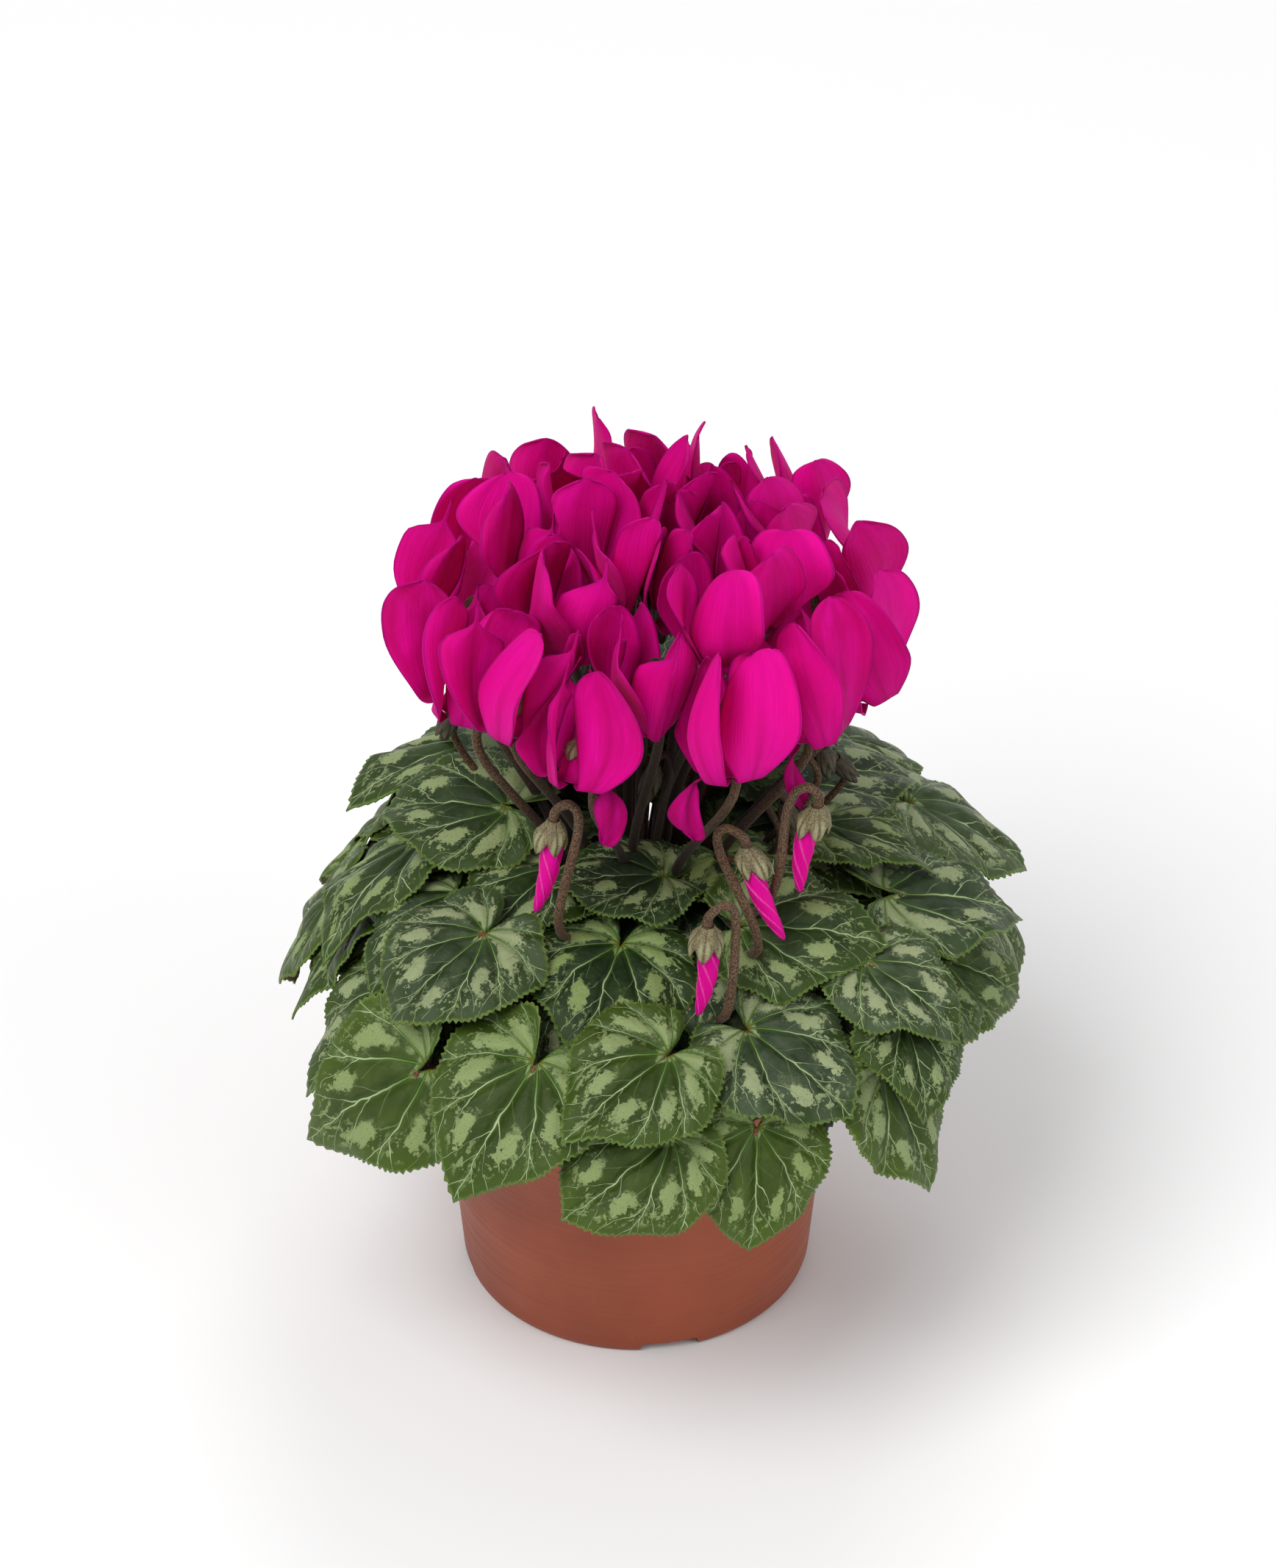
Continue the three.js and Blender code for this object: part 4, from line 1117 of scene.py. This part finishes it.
def subdivide_rim(blank):
    """Halves the edges that have a face on one side only."""
    only(blank)
    bpy.ops.object.mode_set(mode="EDIT")
    bpy.ops.mesh.select_mode(type="EDGE")
    bpy.ops.mesh.select_all(action="DESELECT")
    bpy.ops.mesh.select_non_manifold(
        use_wire=False, use_multi_face=False, use_non_contiguous=False, use_verts=False
    )
    bpy.ops.mesh.subdivide(number_cuts=1)
    bpy.ops.object.mode_set(mode="OBJECT")


def leaf_blank(cells):
    """A flat round blank of even squares. Returns it with each point's part of the way to the rim,
    its direction from the tip, and the number of teeth that the rim has points for."""
    blank = new_grid("leaf_blank", cells, cells)
    subdivide_rim(blank)
    x, y, _ = places_of(blank).T
    part = np.maximum(np.abs(x), np.abs(y))
    flat = np.abs(y) >= np.abs(x)
    quarter = math.pi / 4
    ratio = np.where(flat, x, y) / np.maximum(part, 1e-9)
    ratio = ratio * np.where(flat, np.sign(y), np.sign(x))
    upright = np.where(y >= 0, quarter * ratio, math.pi + quarter * ratio)
    sideways = np.where(x >= 0, math.pi / 2 - quarter * ratio, -math.pi / 2 - quarter * ratio)
    turn = np.where(flat, upright, sideways)
    turn = np.arctan2(np.sin(turn), np.cos(turn))
    return blank, part, turn, 2 * cells


LEAF_BLANK = leaf_blank(LEAF["cells"])
INNER_BLANK = leaf_blank(LEAF["inner_cells"])


def blade_relief(leaf, u, v, part, turn):
    """What stands out from the blade's middle layer: puffed gaps between the veins, a fold along
    the midrib, and a rim that waves and droops."""
    x, y = u / leaf.length, v / leaf.length
    outward = np.hypot(x, y)
    angle = np.arctan2(x, y) / (1 - VEIN["sweep"] * outward)
    in_gap = np.sin(math.pi * angle / VEIN["spacing"]) ** 2
    inside = smoothstep(outward, 0.05, 0.3) * (1 - 0.6 * part**4)
    relief = LEAF["puff"] * in_gap * inside
    relief -= LEAF["fold"] * np.exp(-np.abs(u) / LEAF["fold_width"]) * smoothstep(y, -0.1, 0.2)
    relief += LEAF["curl"] * part**4 * np.sin(5 * turn + 5 * draw(leaf.item, 22))
    relief += LEAF["flute"] * part**6 * np.sin(11 * turn + 5 * draw(leaf.item, 25))
    return relief - LEAF["rim_droop"] * part**10


def make_blade(leaf, name, blank=LEAF_BLANK, shaded=0.0):
    """A heart-shaped blade with its rim in small teeth. A shaded one gets painted shade, but not
    where it stands out at the plant's sides."""
    flat, part, turn, teeth = blank
    blade = copy_of(flat, name)
    item = leaf.item
    lobes = LEAF["lobe"] * np.sin(7 * turn + 9 * draw(item, 21)) * smoothstep(part, 0.5, 1)
    reach = part * leaf.rim_reach(turn) * (1 + lobes)
    jag = np.cos(teeth * turn) * (1 + 0.4 * np.sin(23 * turn + item))
    reach = reach + np.where(part > 0.999, LEAF["tooth"] * jag, 0)
    u = reach * np.sin(turn)
    v = LEAF["middle"] * leaf.length + reach * np.cos(turn)
    height = leaf.height(u, v, part, turn) + leaf.lift + blade_relief(leaf, u, v, part, turn)
    places = leaf.place(u, v, height)
    set_places(blade, places)
    # Painted shade, which fades out towards the plant's sides.
    inwards = LEAF_SHADE["reach"] - np.abs(places[:, 0] - DOME_X)
    set_numbers(blade, "in_shade", shaded * smoothstep(inwards, 0, LEAF_SHADE["fade"]))
    zoom = LEAF_UV["scale"] / leaf.length
    set_uv(blade, LEAF_UV["x"] + zoom * u, LEAF_UV["y"] + zoom * v)
    set_numbers(blade, "to_rim", part)
    set_numbers(blade, "leaf_number", 3.0 * item)
    age = leaf.joint_drop / MOUND["lowest_joint"]
    set_numbers(blade, "leaf_tone", min(max(0.9 * age**2 + 0.25 * draw(item, 23), 0), 1))
    # How silvery the leaf's patches are, and how much painted grey sheen it has.
    set_numbers(blade, "leaf_silver", 0.5 + 0.5 * draw(item, 24))
    dress(blade, MARBLED_LEAF, LEAF_UNDERSIDE)
    apply_modifier(blade, "SOLIDIFY", thickness=LEAF["thickness"] * MM, offset=0, material_offset=1)
    return blade


def make_leaves():
    under = [Leaf(row, i) for i, row in enumerate(UNDER_LEAVES)]
    top = [Leaf(row, len(UNDER_LEAVES) + i) for i, row in enumerate(TOP_LEAVES)]
    inner = [Leaf(row, FIRST_INNER_ITEM + i) for i, row in enumerate(INNER_LEAVES)]
    for i, leaf in enumerate(top):
        node = f"leaf_{i + 1:02d}"
        leaf.find_lift(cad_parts[node])
        finish_piece(make_blade(leaf, f"blade_{i + 1:02d}"), "leaf", node)
    lower = [make_blade(leaf, "lower_blade") for leaf in under]
    finish_piece(joined(lower, "lower_blades"), "leaf", "crown")
    shaded = [make_blade(leaf, "inner_blade", INNER_BLANK, LEAF_SHADE["amount"]) for leaf in inner]
    finish_piece(joined(shaded, "inner_blades"), "leaf", "crown")
    return under + top + inner


# Stalks and stems

def smooth_path(points, steps):
    """A smooth line through the points, with a number of steps between each two."""
    points = [np.array(point, float) for point in points]
    points = [2 * points[0] - points[1], *points, 2 * points[-1] - points[-2]]
    path = []
    for a, b, c, d in zip(points, points[1:], points[2:], points[3:]):
        for i in range(steps):
            t = i / steps
            line = 2 * b + (c - a) * t + (2 * a - 5 * b + 4 * c - d) * t * t
            path.append((line + (3 * b - a - 3 * c + d) * t**3) / 2)
    path.append(points[-2])
    return path


def tubes(name, routes, skin, slot, *nodes):
    """Round stalks, one for each route of (path, radii) in millimetres, as one piece."""
    curve = bpy.data.curves.new(name, "CURVE")
    curve.dimensions = "3D"
    curve.bevel_depth = MM
    curve.bevel_resolution = 2
    curve.use_fill_caps = True
    for path, radii in routes:
        spline = curve.splines.new("POLY")
        spline.points.add(len(path) - 1)
        for point, place, radius in zip(spline.points, path, radii):
            point.co = (*(np.array(place) * MM), 1)
            point.radius = radius
    only(new_object(name, curve))
    bpy.ops.object.convert(target="MESH")
    piece = bpy.context.object
    dress(piece, skin)
    finish_piece(piece, slot, *nodes)


def tuber_top(distance):
    slope = (TUBER["top"] - TUBER["shoulder"]) / (TUBER["cad_radius"] - TUBER["top_radius"])
    return TUBER["top"] - slope * max(0, distance - TUBER["top_radius"])


def leaf_route(leaf):
    """From the tuber, arched over the pot's rim, to the underside of the blade at its cleft."""
    end = leaf.on_blade(STALK["joint"], math.pi) + leaf.normal * (leaf.lift - STALK["under"])
    out = leaf.joint[:2] - (MOUND["x"], 0)
    bearing = math.atan2(out[1], out[0])
    root = STALK_ROOT["nearest"]
    root += STALK_ROOT["spread"] * min(leaf.joint_drop, MOUND["lowest_joint"])
    foot = tuber_top(root) - STALK["sunk"]
    start = np.array([root * math.cos(bearing), root * math.sin(bearing), foot])
    below = end - leaf.normal * STALK["straight"]
    over = (start + below) / 2
    clear = POT["height"] + STALK["over_rim"]
    over[2] = max(over[2] + STALK["arch"], clear)
    below[2] = max(below[2], clear - 1)
    path = smooth_path([start, over, below, end], PATH_STEPS)
    return path, np.linspace(STALK["foot"], STALK["tip"], len(path)) * STALK["radius"]


# Flowers

# Bearing and distance of the mouth from the dome's axis, and its height.
FLOWERS = [
    (-68, 48, 184),
    (-44, 48, 191),
    (-23, 50, 184),
    (21, 50, 185),
    (51, 51, 185),
    (81, 53, 181),
    (110, 50, 187),
    (140, 50, 187),
    (170, 49, 186),
    (200, 50, 186),
    (231, 50, 186),
    (262, 49, 187),
    (-50, 27, 200),
    (-2, 34, 192),
    (38, 28, 199),
    (80, 30, 200),
    (122, 28, 200),
    (168, 28, 199),
    (214, 28, 200),
    (262, 28, 201),
    (60, 9, 205),
    (180, 10, 205),
    (-60, 10, 206),
]


class Flower:
    """A flower's own frame: mouth, axis up through its tube, and the side that its stalk is on. The
    flowers lean in over the dome, the outer ones most."""

    def __init__(self, row, item):
        bearing, distance, height = row
        self.item = item
        outward = compass(bearing + BLOOM_RANGE["bearing"] * draw(item, 13))
        self.mouth = np.array([DOME_X, 0, height + BLOOM_RANGE["height"] * draw(item, 17)])
        self.mouth += outward * (distance + BLOOM_RANGE["distance"] * draw(item, 16))
        lean = math.radians(BLOOM["lean"] * distance + BLOOM_RANGE["lean"] * draw(item, 14))
        axis = np.array([0, 0, math.cos(lean)]) - outward * math.sin(lean)
        self.axis = turned_about(axis, outward, math.radians(BLOOM_RANGE["tilt"] * draw(item, 15)))
        side = unit(-outward + self.axis * np.dot(outward, self.axis))
        turn = math.copysign(BLOOM["stalk_turn"], draw(item, 8))
        turn += BLOOM_RANGE["stalk_turn"] * draw(item, 7)
        self.stalk_side = turned_about(side, self.axis, turn)
        self.third = np.cross(self.axis, self.stalk_side)
        self.heart = self.mouth + self.axis * BLOOM["heart"]

    def toward(self, angle):
        return self.stalk_side * math.cos(angle) + self.third * math.sin(angle)

    def at(self, aside, up):
        return self.mouth + self.stalk_side * aside + self.axis * up


FLOWER_LIST = [Flower(row, i) for i, row in enumerate(FLOWERS)]


def eased_back(places, own):
    """Petals press against the next flower's and don't cross them: places near or past the plane
    midway between two flowers are eased back, and then held on their own side."""
    for step in range(4):
        for other in FLOWER_LIST:
            if other is own:
                continue
            apart = other.heart - own.heart
            distance = np.linalg.norm(apart)
            apart = apart / distance
            room = distance / 2 - BLOOM["room"] - (places - own.heart) @ apart
            if step == 0:
                shift = room - BLOOM["softness"] * np.logaddexp(0, room / BLOOM["softness"])
            else:
                shift = np.minimum(room, 0)
            places = places + spread(shift, apart)
    return places


# The petals that hang, by flower and petal, and how far they open in degrees.
HANGING = {(2, 4): 172, (3, 1): 166, (4, 1): 165}
PETAL_BLANK = new_grid("petal_blank", PETAL["across"], PETAL["along"])
PETAL_ACROSS = places_of(PETAL_BLANK)[:, 0]
PETAL_PART = (places_of(PETAL_BLANK)[:, 1] + 1) / 2
PETAL_PART -= PETAL["crowding"] * np.sin(2 * math.pi * PETAL_PART) / (2 * math.pi)


def petal_half_width(part, broadest, pointed):
    """Half the width in parts of the widest: a narrow claw, then a broad blade with a round top,
    or one drawn out to a point."""
    widening = np.sin(math.pi / 2 * np.clip((part - 0.05) / (broadest - 0.05), 0, 1)) ** 1.25
    claw = PETAL["claw"] + (1 - PETAL["claw"]) * widening
    top = np.sqrt(1 - 0.985 * np.clip((part - 0.5) / 0.5, 0, 1) ** 2.8)
    return claw * top * (1 - 0.93 * pointed * smoothstep(part, 0.68, 0.88))


class Petal:
    """The form of one petal at each point of its blank: part is 0 at the mouth and 1 at the tip,
    and across is -1 and 1 at the edges."""

    def __init__(self, flower, petal):
        item = 10 * flower.item + petal
        self.flower = flower
        self.item = item
        self.hangs = (flower.item, petal) in HANGING
        self.pointed = draw(item, 31) > PETAL["pointed_from"] and not self.hangs
        from_middle = petal - (PETAL["count"] - 1) / 2
        angle = PETAL["spacing"] * from_middle + self.range("spacing", 9)
        self.out = flower.toward(math.pi + math.radians(angle))
        self.side = np.cross(flower.axis, self.out)
        self.opening = math.radians(PETAL["open"] + self.range("open", 10))
        self.length = PETAL["length"] * (1 + self.range("length", 11))
        if self.hangs:
            self.opening = math.radians(HANGING[flower.item, petal])
            self.length *= HANGING_PETAL["length"]
        broadest = PETAL["broadest"] + self.range("broadest", 39)
        self.broad = petal_half_width(PETAL_PART, broadest, self.pointed)

    def range(self, name, purpose):
        return PETAL_RANGE[name] * draw(self.item, purpose)

    def run(self):
        """How far each point lies past the fold at the mouth, along the petal."""
        part, across = PETAL_PART, PETAL_ACROSS
        slope = PETAL["slope"] * draw(self.item, 36) * across * part**2
        slope = slope * (1 - self.pointed) * self.broad
        tip = 0.05 * self.pointed * part**8
        reach = part * (1 - 0.02 * across**2 * part**4) + tip + slope
        past_fold = reach - PETAL["mouth_fold"]
        return self.length * (past_fold + np.sqrt(past_fold**2 + PETAL["mouth_round"] ** 2)) / 2

    def width(self):
        outer = self.flower.item < PETAL["outer_count"]
        full = PETAL["outer_width"] if outer else PETAL["width"]
        width = full / 2 * self.broad * PETAL_ACROSS * (1 + self.range("width", 40))
        return width * HANGING_PETAL["width"] if self.hangs else width

    def twist(self):
        flower_twist = PETAL_RANGE["flower_twist"] * draw(self.flower.item, 12)
        most = PETAL["twist"] + flower_twist + self.range("twist", 12)
        return np.radians(PETAL["first_twist"] + most * PETAL_PART**0.8)

    def proud(self):
        """How far each point stands out from the petal's twisted middle layer."""
        part, across, item = PETAL_PART, PETAL_ACROSS, self.item
        cup = PETAL["cup"] + self.range("cup", 33)
        cup = cup * (1 - across**2) * np.sin(math.pi * part**0.8)
        wave = np.sin(6 * part + 2.5 * across + 6 * draw(item, 34))
        ruffle = PETAL["ruffle"] * np.abs(across) ** 3 * wave * part
        roll = PETAL["roll"] * across**3 * np.sin(math.pi * part)
        lift = PETAL["lift"] * across**2 * draw(item, 38) * part
        return (cup + ruffle + roll + lift) * np.minimum(1.6 * self.broad, 1)

    def places(self):
        part, flower = PETAL_PART, self.flower
        run, width, twist, proud = self.run(), self.width(), self.twist(), self.proud()
        bend = 1 - np.exp(-part / PETAL["mouth_bend"])
        bulge = PETAL["mouth_bulge"] * np.sin(bend * math.pi / 2)
        radial = TUBE["mouth_radius"] - 1 + bulge + run * math.sin(self.opening)
        rise = -PETAL["reflex"] * np.sin(bend * math.pi * 0.75) + run * math.cos(self.opening)
        curl = (PETAL["curl"] + self.range("curl", 32)) * part**2
        curl = PETAL["belly"] * np.sin(math.pi * part) - curl
        sickle = PETAL["sickle"] * draw(self.item, 37) * np.sin(1.3 * math.pi * part)
        outwards = radial + curl + width * np.sin(twist) + proud * np.cos(twist)
        sideways = sickle + width * np.cos(twist) - proud * np.sin(twist)
        places = flower.mouth + spread(outwards, self.out)
        places = places + spread(rise, flower.axis) + spread(sideways, self.side)
        return eased_back(places, flower)


def make_petal(flower, number):
    petal = Petal(flower, number)
    piece = copy_of(PETAL_BLANK, "petal")
    set_places(piece, petal.places())
    set_numbers(piece, "petal_tone", 0 if petal.hangs else 0.5 + 0.5 * draw(petal.item, 35))
    # Hanging petals get painted shade.
    set_numbers(piece, "petal_shade", HANGING_PETAL["shade"] if petal.hangs else 0)
    return piece


def round_blank(name, around, along):
    """A grid that is rolled up about an axis. Returns it with each point's angle round the axis
    and its part of the way along it."""
    blank = new_grid(name, around, along)
    x, y, _ = places_of(blank).T
    return blank, math.pi * x, (y + 1) / 2


def round_places(base, axis, aside, angle, radius, height):
    """Places about an axis through a base, each at its own angle, radius and height."""
    third = np.cross(axis, aside)
    level = spread(np.cos(angle), aside) + spread(np.sin(angle), third)
    return base + level * radius[:, None] + spread(height, axis)


CUP_BLANK, CUP_ROUND, CUP_PART = round_blank("cup_blank", 50, 8)


def make_cup(name, place, axis, aside, radius, height):
    """A round wall about an axis from a base, its radius and height given at each of its points."""
    piece = copy_of(CUP_BLANK, name)
    set_places(piece, round_places(place, axis, aside, CUP_ROUND, radius, height))
    set_numbers(piece, "petal_tone", TUBE["tone"])
    edited(piece, merge_doubles)
    return piece


def make_tube(flower):
    """The flower's short tube, from its mouth up to the calyx, with a turned-out lip."""
    narrowing = (TUBE["radius"] - TUBE["mouth_radius"]) * CUP_PART
    lip = TUBE["lip"] * np.exp(-CUP_PART / 0.08)
    radius = TUBE["mouth_radius"] - 0.6 + narrowing + lip
    radius = np.where(CUP_PART > 0.999, TUBE["top_radius"], radius)
    height = TUBE["length"] * CUP_PART - 0.6
    return make_cup("tube", flower.mouth, flower.axis, flower.stalk_side, radius, height)


def make_bloom(flower):
    petals = [make_petal(flower, number) for number in range(PETAL["count"])]
    bloom = joined([*petals, make_tube(flower)], f"flower_{flower.item + 1:02d}")
    dress(bloom, VELVET)
    apply_modifier(bloom, "SOLIDIFY", thickness=PETAL["thickness"] * MM, offset=0)
    finish_piece(bloom, "petal", f"bloom_{flower.item + 1:02d}")


def make_calyx(place, axis, aside, radius, length, shaded=0.0):
    """Five pointed lobes that clasp a tube or a bud under the end of its stalk."""
    from_rib = np.abs((5 * (CUP_ROUND / math.pi + 1) / 2 + 0.5) % 1 - 0.5) * 2
    lobe = 1 - CALYX["cut"] * from_rib**1.3
    neck = STEM["radius"] + 0.1
    girth = neck + (radius - neck) * np.sin(np.clip(CUP_PART * 1.35, 0, 1) * math.pi / 2) ** 1.5
    girth = girth * (1 + 0.04 * (1 - from_rib)) - 0.35 * smoothstep(CUP_PART, 0.7, 1)
    calyx = make_cup("calyx", place, axis, aside, girth, -length * CUP_PART * lobe)
    apply_modifier(calyx, "SOLIDIFY", thickness=CALYX["thickness"] * MM, offset=-1)
    # Painted shade, for the calyces of the young buds in the shade.
    set_numbers(calyx, "shaded", shaded)
    return calyx


def stem_root(place):
    x = STEM["spread"] * (place[0] - DOME_X)
    return np.array([x, STEM["spread"] * place[1], TUBER["top"] - STEM["sunk"]])


def flower_route(flower):
    """Up from the tuber, past the mouth between two petals, over in a hook and down."""
    start = stem_root(flower.mouth)
    beside = flower.at(STEM["reach"], -9)
    low = start + 0.3 * (beside - start)
    low[2] = start[2] + 0.55 * (beside[2] - start[2])
    low[:2] += STEM["wander"] * np.array([draw(flower.item, 51), draw(flower.item, 52)])
    hook = STEM["hook"]
    points = [
        start,
        low,
        beside,
        flower.at(STEM["reach"], hook - 6),
        flower.at(0.55 * STEM["reach"], hook),
        flower.at(0, hook - 3.5),
        flower.at(0, TUBE["length"] + 0.3),
    ]
    path = smooth_path(points, PATH_STEPS)
    return path, np.full(len(path), STEM["radius"])


# Place of the calyx, bearing of the hook's stalk from it, lean of the bud in degrees, and the
# bearing that it leans to.
BUDS = [
    (-20, -43, 168, 60, 12, -60),
    (27, -47, 163, -80, 24, 60),
    (43, -45, 174, -90, 8, -90),
    (17, -65, 153, 100, 6, -60),
]
# Young buds, still green and closed, on short hooks in the shade under the dome.
YOUNG_BUDS = [
    (-46, 8, 163, 120, 20, -120),
    (46, -2, 160, -60, 10, 90),
    (50, 6, 151, -110, 35, 100),
    (37, -12, 150, -80, 15, 60),
    (22, 8, 166, -100, 20, 30),
    (-12, 22, 172, 90, 10, -90),
    (4, -8, 158, 90, 25, -30),
    (-24, 2, 160, 110, 20, -60),
    (32, 27, 175, -120, 15, 120),
    (7, 36, 177, -120, 15, 160),
    (0.6, 40, 174, 120, 12, 180),
    (6.5, 44, 167, -100, 12, 180),
    (-30, 26, 172, 120, 15, -120),
]


class Bud:
    """A bud's own frame: the top of its petals, its axis up towards its stalk, and the side that
    the stalk is on."""

    def __init__(self, row, item, form):
        x, y, z, stalk_bearing, lean, lean_bearing = row
        self.item = item
        self.form = form
        self.top = np.array([x, y, z], float)
        self.axis = np.array([0, 0, math.cos(math.radians(lean))])
        self.axis = self.axis - compass(lean_bearing) * math.sin(math.radians(lean))
        self.stalk_side = compass(stalk_bearing)

    def at(self, aside, up):
        return self.top + self.stalk_side * aside + self.axis * up


BUD_LIST = [Bud(row, i, BUD) for i, row in enumerate(BUDS)]
YOUNG_LIST = [Bud(row, i, YOUNG_BUD) for i, row in enumerate(YOUNG_BUDS)]
BUD_BLANK = round_blank("bud_blank", 80, 40)
YOUNG_BLANK = round_blank("young_bud_blank", 40, 16)


def make_bud(bud, blank=BUD_BLANK):
    """A furled bud: five petals wound round each other to a blunt tip, each edge lying proud."""
    flat, angle, part = blank
    form = bud.form
    wind = (5 * angle - 5 * form["turn"] * part**1.3) / (2 * math.pi) % 1
    girth = form["radius"] * np.sqrt(np.clip(1 - part**2.6, 0, 1)) * (1 - 0.2 * part)
    girth = girth * (0.8 + 0.2 * smoothstep(part, 0, 0.2)) * (0.86 + 0.14 * wind)
    aside = unit(np.cross(bud.axis, np.array([0, 1, 0])))
    places = round_places(bud.top, bud.axis, aside, angle, girth, -form["length"] * part)
    bow = 0.05 * form["length"] * np.sin(math.pi * part)
    piece = copy_of(flat, "bud")
    set_places(piece, places + spread(bow, bud.stalk_side))
    set_numbers(piece, "petal_tone", 1.0)
    set_numbers(piece, "pale_edge", 0.38 * smoothstep(wind, 0.86, 0.97))
    edited(piece, merge_doubles, turn_outwards)
    return piece


def make_buds():
    """The furled buds, each a piece of its own, and the young ones, joined in one."""
    for bud in BUD_LIST:
        piece = make_bud(bud)
        piece.name = f"furled_bud_{bud.item + 1:02d}"
        dress(piece, VELVET)
        finish_piece(piece, "petal", f"bud_{bud.item + 1:02d}", smooth_angle=50)
    young = joined([make_bud(bud, YOUNG_BLANK) for bud in YOUNG_LIST], "young_buds")
    # Painted shade, as they hang in the shade under the dome.
    set_numbers(young, "shaded", YOUNG_BUD["shaded"])
    dress(young, OLIVE)
    finish_piece(young, "stalk", "crown", smooth_angle=50)


def bud_route(bud):
    """Up from the tuber, past the bud's tip, over in a hook and down to its calyx."""
    start = stem_root(bud.top)
    reach, top = bud.form["reach"], bud.form["top"]
    below = bud.at(reach, -bud.form["length"] - 1)
    low = (start + below) / 2
    low[2] += 5
    points = [start, low, below, bud.at(reach, 1), bud.at(0.55 * reach, top)]
    points += [bud.at(0, 0.64 * top), bud.at(0, 0)]
    path = smooth_path(points, PATH_STEPS)
    return path, np.full(len(path), bud.form["stem"])


def make_calyces():
    """The calyces of all flowers and buds, joined in one."""
    calyces = []
    for flower in FLOWER_LIST:
        place = flower.at(0, TUBE["length"] + CALYX["up"])
        size = (CALYX["radius"], CALYX["length"])
        calyces.append(make_calyx(place, flower.axis, flower.stalk_side, *size))
    for bud in BUD_LIST + YOUNG_LIST:
        place = bud.at(0, CALYX["bud_up"])
        size = (bud.form["sepal_radius"], bud.form["sepal"])
        calyces.append(make_calyx(place, bud.axis, bud.stalk_side, *size, bud.form["shaded"]))
    piece = joined(calyces, "calyces")
    dress(piece, OLIVE)
    finish_piece(piece, "stalk", "crown")


# Stage

def make_stage():
    deselect_all()
    bpy.ops.mesh.primitive_plane_add(size=FLOOR_WIDTH, location=(0, 0, 0))
    floor = bpy.context.object
    floor.name = "floor"
    finish = Finish("pale_floor", 0.8, Specular_IOR_Level=0.2)
    finish.colour(COLOURS["floor"])
    dress(floor, finish.material)
    world = bpy.data.worlds.new("soft_room")
    world.use_nodes = True
    background = world.node_tree.nodes["Background"]
    background.inputs["Color"].default_value = (1, 1, 1, 1)
    background.inputs["Strength"].default_value = ROOM_LIGHT
    bpy.context.scene.world = world
    for name, (place, width, power) in LAMPS.items():
        light = bpy.data.lights.new(name, "AREA")
        light.energy = power
        light.size = width
        lamp = new_object(name, light)
        lamp.location = place
        lamp.rotation_euler = (LAMPS_AIM - lamp.location).to_track_quat("-Z", "Y").to_euler()


def make_camera():
    elevation = math.radians(CAMERA_ELEVATION)
    look = Vector((0, math.cos(elevation), -math.sin(elevation)))
    camera = bpy.data.cameras.new("camera")
    camera.sensor_fit = "VERTICAL"
    camera.sensor_height = SENSOR_HEIGHT
    camera.lens = FOCAL_PX * SENSOR_HEIGHT / PHOTO_HEIGHT_PX
    holder = new_object("camera", camera)
    holder.location = (CAMERA_TARGET - CAMERA_DISTANCE * look) * MM
    holder.rotation_euler = look.to_track_quat("-Z", "Y").to_euler()
    bpy.context.scene.camera = holder
    bpy.context.scene.view_settings.view_transform = "Standard"


make_camera()
make_stage()
make_pot()
make_soil()
make_tuber()
leaves = make_leaves()
tubes("leaf_stalks", [leaf_route(leaf) for leaf in leaves], STALK_SKIN, "stalk", "crown")
for flower in FLOWER_LIST:
    make_bloom(flower)
make_buds()
stems = [flower_route(flower) for flower in FLOWER_LIST]
stems += [bud_route(bud) for bud in BUD_LIST + YOUNG_LIST]
tubes("flower_stems", stems, STEM_SKIN, "stalk", "crown")
make_calyces()
for blank in (LEAF_BLANK[0], INNER_BLANK[0], PETAL_BLANK, CUP_BLANK, BUD_BLANK[0], YOUNG_BLANK[0]):
    bpy.data.objects.remove(blank)
